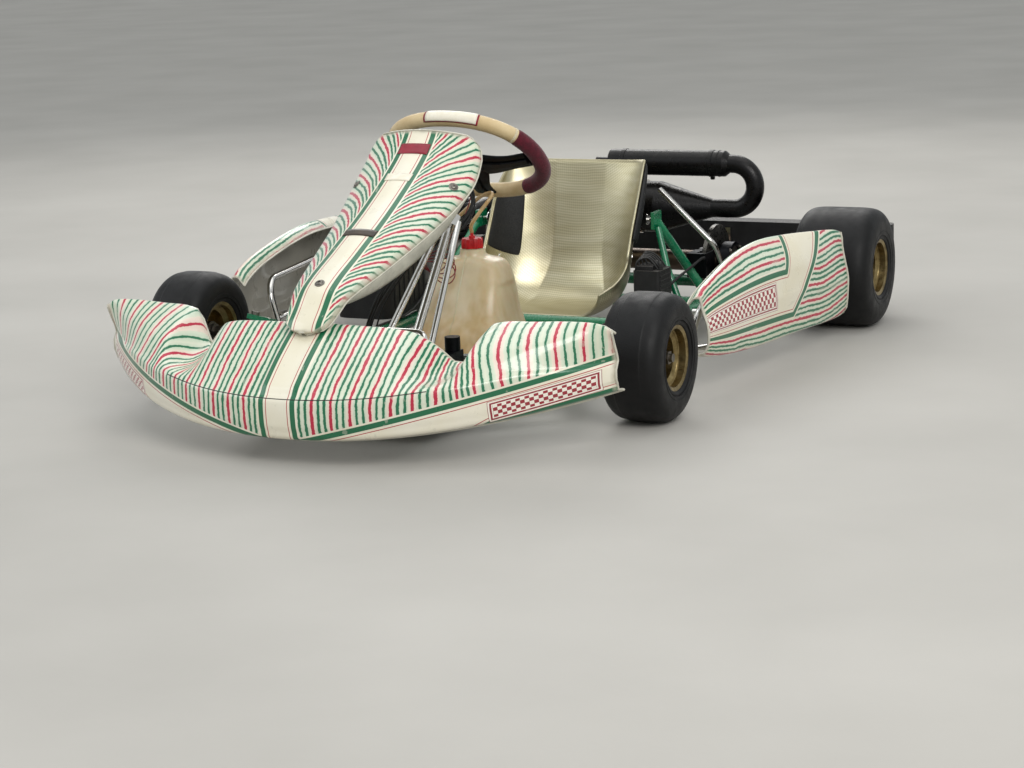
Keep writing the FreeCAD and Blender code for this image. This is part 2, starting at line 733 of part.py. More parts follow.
def bearing_carriers():
    y, z = REAR_AXLE_Y, REAR_TYRE_R
    carriers = []
    for side in (1, -1):
        x0, x1 = side * (CARRIER_X - 13), side * (CARRIER_X + 13)
        shell = along_x(x0, x1, 49, y, z)
        foot = block((min(x0, x1), y - 45, 66), (max(x0, x1), y + 45, z))
        body = fused([shell, foot])
        low = min(x0, x1) - 1
        body = body.cut(along_x(low, low + 30, 40.05, y, z))
        rail_x_here = side * CARRIER_X
        body = body.cut(cylinder((rail_x_here, y - 60, RAIL_Z), (rail_x_here, y + 60, RAIL_Z), RAIL_R + FIT))
        carriers.append(body)
    return group(carriers)


def axle_bearings():
    y, z = REAR_AXLE_Y, REAR_TYRE_R
    rings = []
    for side in (1, -1):
        x0, x1 = side * (CARRIER_X - 9), side * (CARRIER_X + 9)
        race = along_x(x0, x1, 40, y, z)
        low = min(x0, x1) - 1
        rings.append(race.cut(along_x(low, low + 20, AXLE_R + FIT, y, z)))
    return group(rings)


def brake_disc():
    y, z = REAR_AXLE_Y, REAR_TYRE_R
    disc = along_x(DISC_X - 5, DISC_X + 5, DISC_R, y, z).cut(along_x(DISC_X - 6, DISC_X + 6, 48, y, z))
    for index in range(16):
        angle = math.radians(22.5 * index)
        dy, dz = 70 * math.cos(angle), 70 * math.sin(angle)
        disc = disc.cut(along_x(DISC_X - 6, DISC_X + 6, 4, y + dy, z + dz))
    return disc


def brake_disc_carrier():
    y, z = REAR_AXLE_Y, REAR_TYRE_R
    hub = fused([along_x(DISC_X - 40, DISC_X + 5, 33, y, z), along_x(DISC_X - 4, DISC_X + 4, 47.9, y, z)])
    return hub.cut(along_x(DISC_X - 41, DISC_X + 6, AXLE_R + 0.02, y, z))


def sprocket():
    y, z = REAR_AXLE_Y, REAR_TYRE_R
    wheel = along_x(SPROCKET_X - 3, SPROCKET_X + 3, SPROCKET_R - 4, y, z)
    for index in range(6):
        angle = math.radians(60 * index)
        dy, dz = 64 * math.cos(angle), 64 * math.sin(angle)
        wheel = wheel.cut(along_x(SPROCKET_X - 4, SPROCKET_X + 4, 16, y + dy, z + dz))
    return wheel.cut(along_x(SPROCKET_X - 4, SPROCKET_X + 4, 38, y, z))


def sprocket_carrier():
    y, z = REAR_AXLE_Y, REAR_TYRE_R
    barrel = along_x(SPROCKET_X - 3, SPROCKET_X + 38, 33, y, z)
    hub = fused([barrel, along_x(SPROCKET_X - 3, SPROCKET_X + 3, 37.9, y, z)])
    return hub.cut(along_x(SPROCKET_X - 4, SPROCKET_X + 39, AXLE_R + 0.02, y, z))


def chain():
    """The chain as a closed band that stands just clear of both sprockets."""
    small, large = DRIVE_SPROCKET_R, SPROCKET_R
    dy, dz = REAR_AXLE_Y - CRANK_Y, REAR_TYRE_R - CRANK_Z
    span = math.hypot(dy, dz)
    tilt = math.atan2(dz, dy)

    def loop(extra):
        a, b = small + extra, large + extra
        lean = math.acos((a - b) / span)
        points = []
        for sign in (1, -1):
            angle = tilt + sign * lean
            points.append((math.cos(angle), math.sin(angle)))
        upper, lower = points
        small_c, large_c = (CRANK_Y, CRANK_Z), (REAR_AXLE_Y, REAR_TYRE_R)

        def place(centre, radius, direction):
            return Vec(SPROCKET_X - 3, centre[0] + radius * direction[0], centre[1] + radius * direction[1])
        back = (-math.cos(tilt), -math.sin(tilt))
        ahead = (math.cos(tilt), math.sin(tilt))
        small_up, small_down = place(small_c, a, upper), place(small_c, a, lower)
        large_up, large_down = place(large_c, b, upper), place(large_c, b, lower)
        edges = [Part.Arc(small_up, place(small_c, a, back), small_down).toShape(),
                 Part.LineSegment(small_down, large_down).toShape(),
                 Part.Arc(large_down, place(large_c, b, ahead), large_up).toShape(),
                 Part.LineSegment(large_up, small_up).toShape()]
        return Part.Face(Part.Wire(edges)).extrude(Vec(6, 0, 0))
    return loop(CHAIN_T).cut(loop(0))


def brake_caliper():
    """The caliper that straddles the disc ahead of the axle."""
    y = REAR_AXLE_Y - 78
    body = block((DISC_X - 34, y - 34, 118), (DISC_X + 15, y + 26, 176))
    slot = block((DISC_X - 13, y - 20, 110), (DISC_X + 9, y + 30, 184))
    body = body.cut(slot)
    arm = block((DISC_X + 9.2, y - 8, 96), (CARRIER_X - 13.5, y + 51, 124))
    outer_pad = block((DISC_X + 5.6, y - 18, 124.5), (DISC_X + 8.6, y + 22, 170))
    return group([fused([body, arm]), outer_pad])


def brake_pad():
    """The inner pad, which the caliper's piston pushes onto the disc."""
    y = REAR_AXLE_Y - 78
    return block((DISC_X - 10.6, y - 18, 124), (DISC_X - 6.2, y + 22, 170))


# ---------------------------------------------------------------- brake and throttle controls


def pedal():
    """The left pedal: a bent bar and a short lever on a pivot tube."""
    y, z = PEDAL_PIVOT
    bar = bent_rod([(PEDAL_X, y + 5, z + 8), (PEDAL_X, y + 52, 178), (PEDAL_X - 88, y + 52, 178)], 8, 22)
    pivot = cylinder((PEDAL_X - 20, y, z), (PEDAL_LEVER_X + 6, y, z), 10)
    lever = cylinder((PEDAL_LEVER_X, y, z), (PEDAL_LEVER_X, y + 4, z + 40), 5)
    body = fused([pivot, bar, lever])
    return body.cut(cylinder((PEDAL_X - 30, y, z), (PEDAL_X + 50, y, z), 5 + FIT))


def pedal_pivots():
    """The bolts and ears that carry the two pedals, standing on the tray."""
    y, z = PEDAL_PIVOT
    inner_x, outer_x = PEDAL_X - 21, PEDAL_LEVER_X + 7
    base = TRAY_Z + TRAY_T + 0.1
    ears = []
    for side in (1, -1):
        bolt = cylinder((side * (inner_x - 6), y, z), (side * (outer_x + 6), y, z), 5)
        plates = []
        for near, far in ((inner_x - 6, inner_x), (outer_x, outer_x + 6)):
            low, high = sorted((side * near, side * far))
            plates.append(block((low, y - 8, base), (high, y + 8, z + 8)))
        ears.append(fused([bolt] + plates))
    return group(ears)


def master_cylinder():
    """The brake pump behind the left pedal, seated on the front cross tube."""
    x, z = PEDAL_LEVER_X, BRAKE_ROD_Z
    body = block((x - 14, -480, z - 17), (x + 14, -400, z + 17))
    foot = block((x - 14, -437, 84.2), (x + 14, -413, z))
    pot = cylinder((x, -420, z + 17), (x, -420, z + 46), 16)
    bore = cylinder((x, -481, z), (x, -440, z), 5 + FIT)
    return fused([body, foot, pot]).cut(bore)


def brake_rod():
    """The pull rod between the pedal's lever and the pump."""
    return cylinder((PEDAL_LEVER_X, -510, BRAKE_ROD_Z), (PEDAL_LEVER_X, -452, BRAKE_ROD_Z), 5)


def brake_line():
    """The hose from the pump along the left rail to the caliper."""
    path = [(140.3, -450, BRAKE_ROD_Z), (215, -450, BRAKE_ROD_Z), (240, -380, 152), (300, -170, 152),
            (300, 160, 106), (349, 420, 108), (349, 566, 112), (275, 566, 165), (275, 582.5, 165)]
    return bent_rod(path, 3, 8)


def throttle_cable():
    """The cable from the right pedal to the top of the carburettor."""
    path = [(-106, -500, 150), (-150, -440, 150), (-290, -170, 150), (-240, -60, 110), (-240, 285, 110),
            (-245, 300, 296), (ENGINE_X, 386, 296), (ENGINE_X, 386, 268.5)]
    return bent_rod(path, 2.5, 10)


def hoses_and_cable():
    return group([fuel_hose(), brake_line(), throttle_cable()])


# ---------------------------------------------------------------- engine


def engine_mount():
    """The plate and clamps that hold the engine on the right rail."""
    x = -CARRIER_X
    plate = block((x - 62, 392, 88), (x + 42, 572, 104))
    feet = [block((x - 22, y - 14, 50), (x + 22, y + 14, 90)) for y in (470, 552)]
    body = fused([plate] + feet)
    return body.cut(cylinder((x, 430, RAIL_Z), (x, 600, RAIL_Z), RAIL_R + FIT))


def crankcase():
    body = block((-384, 396, 104.1), (-254, 550, 214))
    upright = [e for e in body.Edges if abs(e.Vertexes[0].X - e.Vertexes[1].X) > 1]
    body = body.makeFillet(24, upright)
    return body.cut(along_x(-300, -253, 10 + FIT, CRANK_Y, CRANK_Z))


def crankshaft():
    return along_x(-299, -226, 10, CRANK_Y, CRANK_Z)


def drive_sprocket():
    x = SPROCKET_X
    gear = along_x(x - 3, x + 3, DRIVE_SPROCKET_R - 4, CRANK_Y, CRANK_Z)
    drum = along_x(x - 16, x - 3, 15, CRANK_Y, CRANK_Z)
    return fused([gear, drum]).cut(along_x(x - 20, x + 10, 10.02, CRANK_Y, CRANK_Z))


def cylinder_block():
    core = cylinder((ENGINE_X, 474, 214.1), (ENGINE_X, 474, 286), 44)
    fins = [cylinder((ENGINE_X, 474, 226 + 12 * i), (ENGINE_X, 474, 231 + 12 * i), 58) for i in range(5)]
    port = cylinder((ENGINE_X, 500, 256), (ENGINE_X, 540, 256), 24)
    intake = cylinder((ENGINE_X, 450, 244), (ENGINE_X, 412, 244), 20)
    return fused([core] + fins + [port, intake])


def cylinder_head():
    core = cylinder((ENGINE_X, 474, 286.1), (ENGINE_X, 474, 318), 42)
    fins = [cylinder((ENGINE_X, 474, 290 + 11 * i), (ENGINE_X, 474, 294.5 + 11 * i), 56) for i in range(3)]
    return fused([core] + fins)


def spark_plug():
    return fused([cylinder((ENGINE_X, 474, 318.1), (ENGINE_X, 474, 330), 9),
                  cylinder((ENGINE_X, 474, 330), (ENGINE_X, 474, 358), 11)])


def carburettor():
    body = block((ENGINE_X - 26, 352, 218), (ENGINE_X + 26, 411.9, 268))
    flange = cylinder((ENGINE_X, 342, 244), (ENGINE_X, 352, 244), 26)
    body = fused([body, flange])
    body = body.cut(cylinder((ENGINE_X, 330, 244), (ENGINE_X, 398, 244), 15))
    return body.cut(cylinder((ENGINE_X - 40, 378, 244), (ENGINE_X + 40, 378, 244), 3 + FIT))


def throttle_butterfly():
    """The spindle, disc and outer lever inside the carburettor."""
    spindle_bar = cylinder((ENGINE_X - 38, 378, 244), (ENGINE_X + 28, 378, 244), 3)
    disc = cylinder((ENGINE_X, 376.6, 244), (ENGINE_X, 379.4, 244), 13)
    lever = block((ENGINE_X - 38, 374, 240), (ENGINE_X - 34, 382, 274))
    return fused([spindle_bar, disc, lever])


def intake_boot():
    """The rubber hose between the airbox and the carburettor."""
    start, end = Vec(ENGINE_X, 190, 180), Vec(ENGINE_X, 380, 260)
    gap = block((ENGINE_X - 60, 225.1, 100), (ENGINE_X + 60, 341.9, 320))
    return ring(start, end, 25, 20).common(gap)


def airbox():
    shell = soft_block((-398, 20, 96), (-256, 225, 240), 30)
    return shell.cut(soft_block((-394, 24, 100), (-260, 221, 236), 26))


def battery():
    return soft_block((216, 326, 96), (282, 406, 176), 8)


def hollowed(build):
    """The outer shape less the same shape drawn one wall thinner."""
    return build(0).cut(build(EXHAUST_WALL))


def exhaust_header():
    def pipe(wall):
        path = [(ENGINE_X, 540.2, 256), (ENGINE_X, 612, 256), (-290, EXHAUST_Y, EXHAUST_Z),
                (-246, EXHAUST_Y, EXHAUST_Z)]
        return bent_rod(path, 21 - wall, 34)
    return hollowed(pipe)


def exhaust_chamber():
    """The cones, the belly and the return bend of the tuned pipe."""
    y, z = EXHAUST_Y, EXHAUST_Z
    upper = z + 2 * EXHAUST_BEND_R

    def pipe(wall):
        stations = [(-245.8, 21), (-60, 42), (50, 62), (150, 62), (285, 22)]
        parts = []
        for (x0, r0), (x1, r1) in zip(stations, stations[1:]):
            if r0 == r1:
                parts.append(cylinder((x0, y, z), (x1, y, z), r0 - wall))
            else:
                parts.append(cone((x0, y, z), (x1, y, z), r0 - wall, r1 - wall))
        bend = [(285, y, z), (392, y, z), (392, y, upper), (330, y, upper)]
        parts.append(bent_rod(bend, 22 - wall, EXHAUST_BEND_R - 0.5))
        return fused(parts)
    return hollowed(pipe)


def exhaust_silencer():
    y, z = EXHAUST_Y, EXHAUST_Z + 2 * EXHAUST_BEND_R

    def can(wall):
        return fused([cylinder((24 + wall, y, z), (318, y, z), 31 - wall),
                      cone((318, y, z), (329.8, y, z), 31 - wall, 22 - wall),
                      cylinder((-16, y, z), (26, y, z), 11 - wall)])
    return hollowed(can)


def exhaust_bracket():
    """The strap round the pipe's belly and its post from the rear cross tube."""
    band = ring((92, EXHAUST_Y, EXHAUST_Z), (112, EXHAUST_Y, EXHAUST_Z), 66, 62.2)
    post = bent_rod([(102, 800, 85), (102, 796, 190), (102, EXHAUST_Y + 55, 244)], 6, 30)
    return fused([band, post]).cut(cylinder((60, EXHAUST_Y, EXHAUST_Z), (140, EXHAUST_Y, EXHAUST_Z), 62.2))


# ---------------------------------------------------------------- small pieces that share a file
def both_sides(pieces):
    return group(pieces + [mirrored(piece) for piece in pieces])


def brackets_and_bolts():
    """The straps, posts and bolts that hold the tray, the seat, the bodywork and the exhaust."""
    straps = pod_straps()
    return group(tray_bolts() + seat_fasteners() + [panel_bracket(), fairing_bracket()]
                 + straps + [mirrored(strap) for strap in straps]
                 + rear_bumper_supports() + [exhaust_bracket()])


def rear_hubs():
    hub = rear_hub()
    return group([hub, mirrored(hub)] + rear_wheel_nuts())


def rear_rims():
    return both_sides([rear_rim()])


def rear_tyres():
    return both_sides([tyre(REAR_X, REAR_AXLE_Y, REAR_TYRE_R, REAR_TYRE_R, REAR_TYRE_W)])


def front_tyre():
    return tyre(FRONT_X, FRONT_AXLE_Y, FRONT_TYRE_R, FRONT_TYRE_R, FRONT_TYRE_W)


def axle_carriers():
    return group([brake_disc_carrier(), sprocket_carrier()])


def spindle_set():
    """The stub axle with its spacers, bearings and nut."""
    return group([spindle(), front_wheel_nut()] + front_spacers() + front_bearings())


def crankshaft_set():
    return group([crankshaft(), drive_sprocket()])


# ---------------------------------------------------------------- write every piece
def write_parts():
    for piece in (main_frame, floor_tray, brackets_and_bolts, front_bumper, side_bumpers, rear_bumper,
                  front_fairing, front_panel, seat, seat_stays, fuel_tank, fuel_cap, hoses_and_cable,
                  column_support, kingpins, bearing_carriers, axle_bearings, brake_caliper, brake_pad,
                  chain, pedal_pivots, master_cylinder, brake_rod, engine_mount, crankcase,
                  cylinder_block, cylinder_head, spark_plug, carburettor, throttle_butterfly, intake_boot,
                  airbox, battery, exhaust_header, exhaust_chamber, exhaust_silencer, steering_column,
                  steering_hub, steering_spokes, steering_rim, rear_axle, rear_hubs, rear_rims, rear_tyres,
                  brake_disc, sprocket, axle_carriers):
        save(piece.__name__, piece())
    save("crankshaft", crankshaft_set())
    save("brake_pedal", pedal())
    save("throttle_pedal", mirrored(pedal()))
    save_pair("side_pod", side_pod())
    save_pair("spindle", spindle_set())
    save_pair("tie_rod", tie_rod())
    save_pair("front_rim", front_rim())
    save_pair("front_tyre", front_tyre())


write_parts()
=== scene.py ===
"""The looks of a racing kart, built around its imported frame. Lengths are in metres unless a name says mm."""
import math
import random

import bpy
from mathutils import Matrix, Vector


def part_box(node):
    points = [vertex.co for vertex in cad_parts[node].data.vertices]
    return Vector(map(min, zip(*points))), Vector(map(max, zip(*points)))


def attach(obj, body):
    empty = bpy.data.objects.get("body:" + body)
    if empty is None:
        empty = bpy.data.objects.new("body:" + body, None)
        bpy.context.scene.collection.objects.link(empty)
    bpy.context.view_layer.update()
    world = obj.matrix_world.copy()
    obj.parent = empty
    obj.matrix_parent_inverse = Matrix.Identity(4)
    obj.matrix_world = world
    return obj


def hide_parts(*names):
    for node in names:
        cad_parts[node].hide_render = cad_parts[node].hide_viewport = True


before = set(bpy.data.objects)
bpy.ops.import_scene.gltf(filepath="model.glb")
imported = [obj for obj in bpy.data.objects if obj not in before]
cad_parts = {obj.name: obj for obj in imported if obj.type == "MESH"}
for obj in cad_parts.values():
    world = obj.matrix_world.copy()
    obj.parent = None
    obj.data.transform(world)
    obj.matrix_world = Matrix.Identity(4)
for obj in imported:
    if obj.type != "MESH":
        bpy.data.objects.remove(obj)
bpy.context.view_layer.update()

MM = 0.001
X_AXIS, Y_AXIS, Z_AXIS = Vector((1, 0, 0)), Vector((0, 1, 0)), Vector((0, 0, 1))
SHARP_EDGE = math.radians(38)


# ---------------------------------------------------------------- small maths
def tone(code):
    """A linear colour from a six-digit display code."""
    parts = [int(code[i:i + 2], 16) / 255 for i in (0, 2, 4)]
    return tuple(p / 12.92 if p < 0.04 else ((p + 0.055) / 1.055) ** 2.4 for p in parts) + (1.0,)


def ease(value, start, end):
    """0 before start, 1 after end, and a smooth step between."""
    share = min(max((value - start) / (end - start), 0.0), 1.0)
    return share * share * (3 - 2 * share)


def through(stops, value):
    """A smooth curve through rows of numbers; the first of each row is its place."""
    last = len(stops) - 2
    index = 0
    while index < last and value > stops[index + 1][0]:
        index += 1
    start, end = stops[index], stops[index + 1]
    before, after = stops[max(index - 1, 0)], stops[min(index + 2, len(stops) - 1)]
    width = end[0] - start[0]
    share = min(max((value - start[0]) / width, 0.0), 1.0)
    square, cube = share ** 2, share ** 3
    result = []
    for k in range(1, len(start)):
        slope_in = (end[k] - before[k]) / (end[0] - before[0]) * width
        slope_out = (after[k] - start[k]) / (after[0] - start[0]) * width
        result.append((2 * cube - 3 * square + 1) * start[k] + (cube - 2 * square + share) * slope_in
                      + (3 * square - 2 * cube) * end[k] + (cube - square) * slope_out)
    return result


def spline(points, steps=8):
    """A smooth line through points, with a number of steps between each two."""
    points = [Vector(p) for p in points]
    line = []
    for i in range(len(points) - 1):
        a, b, c, d = (points[min(max(i + k, 0), len(points) - 1)] for k in (-1, 0, 1, 2))
        for step in range(steps):
            t = step / steps
            line.append(0.5 * (2 * b + (c - a) * t + (2 * a - 5 * b + 4 * c - d) * t ** 2
                               + (3 * b - a - 3 * c + d) * t ** 3))
    return line + [points[-1]]


def polygon_depth(x, y, corners):
    """How far a point is inside a polygon, negative outside it."""
    nearest = math.inf
    inside = False
    for (x0, y0), (x1, y1) in zip(corners, corners[1:] + corners[:1]):
        dx, dy = x1 - x0, y1 - y0
        share = min(max(((x - x0) * dx + (y - y0) * dy) / (dx * dx + dy * dy), 0.0), 1.0)
        nearest = min(nearest, math.hypot(x - x0 - share * dx, y - y0 - share * dy))
        if (y0 > y) != (y1 > y) and x < x0 + (y - y0) * dx / dy:
            inside = not inside
    return nearest if inside else -nearest


def turns(count):
    """The angles of equal steps round a circle."""
    return [math.tau * k / count for k in range(count)]


def ring(centre, side, other, radius, count):
    """Points round a circle that lies in the plane of two directions."""
    return [centre + (side * math.cos(a) + other * math.sin(a)) * radius for a in turns(count)]


def in_mm(*points):
    """Points given in mm."""
    return [Vector(point) * MM for point in points]


def room(node):
    """The middle and the half size of a node's box."""
    low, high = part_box(node)
    return (low + high) / 2, (high - low) / 2


def border(rows, step):
    """The line round a grid of points, with every step-th point of it."""
    return ([row[0] for row in rows[::step]] + rows[-1][::step]
            + [row[-1] for row in rows[::-step]] + rows[0][::-step])


# ---------------------------------------------------------------- shapes
class Shape:
    """A mesh under construction. Each grid, tube or lathe adds to it."""

    def __init__(self):
        self.points = []
        self.faces = []
        self.values = {}

    def grid(self, rows, around=False, values=None, caps=False):
        """Faces between rows of points. With around, each row closes on itself."""
        base, width = len(self.points), len(rows[0])
        for row in rows:
            self.points.extend(row)
        for name, table in (values or {}).items():
            self.values[name] = [entry for row in table for entry in row]
        for i in range(len(rows) - 1):
            a, b = base + i * width, base + (i + 1) * width
            for j in range(width if around else width - 1):
                k = (j + 1) % width
                self.faces.append((a + j, a + k, b + k, b + j))
        if caps:
            self.faces.append(tuple(base + j for j in reversed(range(width))))
            self.faces.append(tuple(base + (len(rows) - 1) * width + j for j in range(width)))
        return self

    def tube(self, line, radius, sides=8):
        """A round bar along a line."""
        line = [Vector(p) for p in line]
        side = (line[1] - line[0]).normalized().orthogonal().normalized()
        rows = []
        for i, point in enumerate(line):
            ahead = (line[min(i + 1, len(line) - 1)] - line[max(i - 1, 0)]).normalized()
            side = (side - ahead * side.dot(ahead)).normalized()
            rows.append(ring(point, side, ahead.cross(side), radius, sides))
        return self.grid(rows, around=True, caps=True)

    def hose(self, points, radius_mm, sides=8):
        """A round bar along a smooth line through points in mm."""
        return self.tube(spline(in_mm(*points)), radius_mm * MM, sides)

    def loop(self, line, radius):
        """A round bar along a closed line."""
        line = [Vector(p) for p in line]
        count = len(line)
        centre = sum(line, Vector()) / count
        normal = sum(((line[i] - centre).cross(line[(i + 1) % count] - centre) for i in range(count)),
                     Vector()).normalized()
        rows = []
        for i, point in enumerate(line + line[:1]):
            ahead = (line[(i + 1) % count] - line[(i - 1) % count]).normalized()
            rows.append(ring(point, ahead.cross(normal).normalized(), normal, radius, 8))
        return self.grid(rows, around=True)

    def lathe(self, profile, origin, axis, segments=24, caps=False):
        """A profile of (along, radius) turned about an axis."""
        axis = Vector(axis).normalized()
        side = axis.orthogonal().normalized()
        rows = [ring(Vector(origin) + axis * along, side, axis.cross(side), radius, segments)
                for along, radius in profile]
        return self.grid(rows, around=True, caps=caps)

    def lathe_mm(self, profile, origin, axis, segments=24, caps=False):
        """The same with a profile in mm."""
        in_metres = [(along * MM, radius * MM) for along, radius in profile]
        return self.lathe(in_metres, origin, axis, segments, caps)

    def bolt(self, origin, axis, radius, height):
        """A hexagon head on a washer."""
        washer, top = height * 0.3, height * 1.4
        self.lathe([(0, radius * 1.75), (washer, radius * 1.75), (washer, radius)], origin, axis)
        return self.lathe([(washer, radius * 1.15), (height * 1.1, radius * 1.15), (top, radius),
                           (top, radius * 0.45), (height * 0.8, radius * 0.4)], origin, axis, 6, caps=True)

    def button(self, origin, axis, radius=7 * MM):
        """A round screw head with a socket."""
        height = 3 * MM
        return self.lathe([(0, radius), (height * 0.5, radius * 0.93), (height * 0.9, radius * 0.7),
                           (height, radius * 0.42), (height * 0.5, radius * 0.36)], origin, axis, caps=True)

    def block(self, low, high, bevel):
        """A box with bevelled upright edges and a stepped rim."""
        (x0, y0, z0), (x1, y1, z1) = low, high
        rows = []
        for z, inset in ((z0, bevel), (z0 + bevel, 0), (z1 - bevel, 0), (z1, bevel)):
            a, b, c, d = x0 + inset, x1 - inset, y0 + inset, y1 - inset
            corners = [(a + bevel, c), (b - bevel, c), (b, c + bevel), (b, d - bevel),
                       (b - bevel, d), (a + bevel, d), (a, d - bevel), (a, c + bevel)]
            rows.append([Vector((x, y, z)) for x, y in corners])
        return self.grid(rows, around=True, caps=True)

    def coil(self, start, span, side, other, radius, turn_count, steps):
        """A spring of thin wire along a span; side and other are the directions across it."""
        line = []
        for i in range(steps + 1):
            a = math.tau * turn_count * i / steps
            line.append(start + span * (i / steps) + (side * math.cos(a) + other * math.sin(a)) * radius)
        return self.tube(line, 0.8 * MM, 6)

    def finish(self, name, slot, stands_for=(), body="chassis", look=None, thickness=0.0):
        """Makes the piece, gives it its slot's finish or a look of its own, and lets it ride on its body."""
        mesh = bpy.data.meshes.new(name)
        mesh.from_pydata([tuple(p) for p in self.points], [], self.faces)
        for key, table in self.values.items():
            store_values(mesh, key, table)
        if self.values:
            store_values(mesh, "outward", [tuple(vertex.normal) for vertex in mesh.vertices])
        mesh.shade_smooth()
        mesh.set_sharp_from_angle(angle=SHARP_EDGE)
        mesh.materials.append(look or SLOT_FINISH[slot])
        piece = bpy.data.objects.new(name, mesh)
        bpy.context.scene.collection.objects.link(piece)
        if thickness:
            shell = piece.modifiers.new("shell", "SOLIDIFY")
            shell.thickness = thickness
            shell.offset = -1
        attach(piece, body)
        if stands_for:
            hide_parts(*stands_for)


def store_values(mesh, name, table):
    """Stores one number or one triple for each point of a mesh, for its material to read."""
    wide = isinstance(table[0], tuple)
    attribute = mesh.attributes.new(name, "FLOAT_VECTOR" if wide else "FLOAT", "POINT")
    numbers = [part for entry in table for part in entry] if wide else table
    attribute.data.foreach_set("vector" if wide else "value", numbers)


# ---------------------------------------------------------------- materials
class Signal:
    """A number in a material. Arithmetic with signals adds the nodes that do it."""

    def __init__(self, finish, socket):
        self.finish = finish
        self.socket = socket

    def __add__(self, other):
        return self.finish.calc("ADD", self, other)

    def __sub__(self, other):
        return self.finish.calc("SUBTRACT", self, other)

    def __mul__(self, other):
        return self.finish.calc("MULTIPLY", self, other)

    def __truediv__(self, other):
        return self.finish.calc("DIVIDE", self, other)

    def __abs__(self):
        return self.finish.calc("ABSOLUTE", self)

    def ramp(self, start, end, low=0.0, high=1.0):
        """Goes from low at start to high at end, and stays flat outside."""
        node = self.finish.add("MapRange")
        for index, entry in enumerate((self, start, end, low, high)):
            self.finish.feed(node.inputs[index], entry)
        return Signal(self.finish, node.outputs[0])


class Finish:
    """A procedural material, written node by node."""

    def __init__(self, name, **inputs):
        self.material = bpy.data.materials.new(name)
        self.material.use_nodes = True
        self.tree = self.material.node_tree
        self.surface = self.tree.nodes["Principled BSDF"]
        self.place = self.add("TexCoord").outputs["Object"]
        self.colour = None
        self.set(**inputs)

    def add(self, kind, **settings):
        node = self.tree.nodes.new("ShaderNode" + kind)
        for key, value in settings.items():
            setattr(node, key, value)
        return node

    def feed(self, socket, value):
        """Gives a socket another node's output, a plain value or a colour's display code."""
        source = value.socket if isinstance(value, Signal) else value
        if isinstance(source, bpy.types.NodeSocket):
            self.tree.links.new(source, socket)
        else:
            socket.default_value = tone(source) if isinstance(source, str) else source

    def set(self, **inputs):
        """Sets inputs of the surface, with its colour if it has one; coat_weight stands for Coat Weight."""
        if self.colour is not None:
            self.feed(self.surface.inputs["Base Color"], self.colour)
        for key, value in inputs.items():
            label = " ".join(word if word == "IOR" else word.capitalize() for word in key.split("_"))
            self.feed(self.surface.inputs[label], value)

    def calc(self, operation, *values):
        node = self.add("Math", operation=operation)
        for socket, value in zip(node.inputs, values):
            self.feed(socket, value)
        return Signal(self, node.outputs[0])

    def mix(self, share, low, high):
        node = self.add("Mix", data_type="RGBA")
        for index, value in ((0, share), (6, low), (7, high)):
            self.feed(node.inputs[index], value)
        return node.outputs[2]

    def paint(self, share, layer):
        """Lays a share of a colour over the colour so far."""
        self.colour = self.mix(share, self.colour, layer)

    def pattern(self, kind, output, stretch=(1, 1, 1), turn=(0, 0, 0), **inputs):
        """A texture in the object's own space."""
        node, mapping = self.add(kind), self.add("Mapping")
        mapping.inputs["Scale"].default_value = stretch
        mapping.inputs["Rotation"].default_value = turn
        self.feed(mapping.inputs["Vector"], self.place)
        self.feed(node.inputs["Vector"], mapping.outputs[0])
        for key, value in inputs.items():
            node.inputs[key.capitalize()].default_value = value
        return Signal(self, node.outputs[output])

    def noise(self, scale, detail=3.0, stretch=(1, 1, 1), turn=(0, 0, 0), roughness=0.5):
        return self.pattern("TexNoise", "Fac", stretch, turn, scale=scale, detail=detail, roughness=roughness)

    def cells(self, scale):
        return self.pattern("TexVoronoi", "Distance", scale=scale)

    def value(self, attribute):
        """A number stored at the points of the mesh."""
        return Signal(self, self.add("Attribute", attribute_name=attribute).outputs["Fac"])

    def triple(self, attribute):
        """Three numbers stored at the points of the mesh."""
        return self.split(self.add("Attribute", attribute_name=attribute).outputs["Vector"])

    def split(self, vector):
        node = self.add("SeparateXYZ")
        self.feed(node.inputs[0], vector)
        return [Signal(self, output) for output in node.outputs]

    def bump(self, height, depth, strength=1.0):
        """Adds relief on top of any relief the surface already has, and gives the material."""
        node = self.add("Bump")
        self.feed(node.inputs["Height"], height)
        node.inputs["Distance"].default_value = depth
        node.inputs["Strength"].default_value = strength
        normal = self.surface.inputs["Normal"]
        if normal.is_linked:
            self.feed(node.inputs["Normal"], normal.links[0].from_socket)
        self.feed(normal, node.outputs[0])
        return self.material


def mottled(name, dark, light, rough, scale, grain=0.0, grain_scale=900.0, dust=0.0, stretch=(1, 1, 1),
            **inputs):
    """A finish whose colour and roughness drift, with fine grain and dust on faces that look up."""
    finish = Finish(name, **inputs)
    drift = finish.noise(scale, 5.0, stretch, roughness=0.65).ramp(0.32, 0.68)
    finish.colour = finish.mix(drift, dark, light)
    scuffs = finish.noise(scale * 7, 4.0, stretch)
    if dust:
        up = finish.split(finish.add("NewGeometry").outputs["Normal"])[2]
        settled = up.ramp(0.2, 1.0) * scuffs.ramp(0.35, 0.75, 0.4, dust)
        finish.paint(settled * dust, "9a9284")
    finish.set(roughness=scuffs.ramp(0.3, 0.7, *rough))
    if grain:
        finish.bump(finish.noise(grain_scale, 3.0, stretch), grain)
    return finish.material


LINE_COLOURS = 3
BOLD_HALF_MM, PIN_AT_MM, INK_FROM_MM = 5.0, 11.0, 8.6
WARP_MM, WEFT_MM = 5.3, 6.4


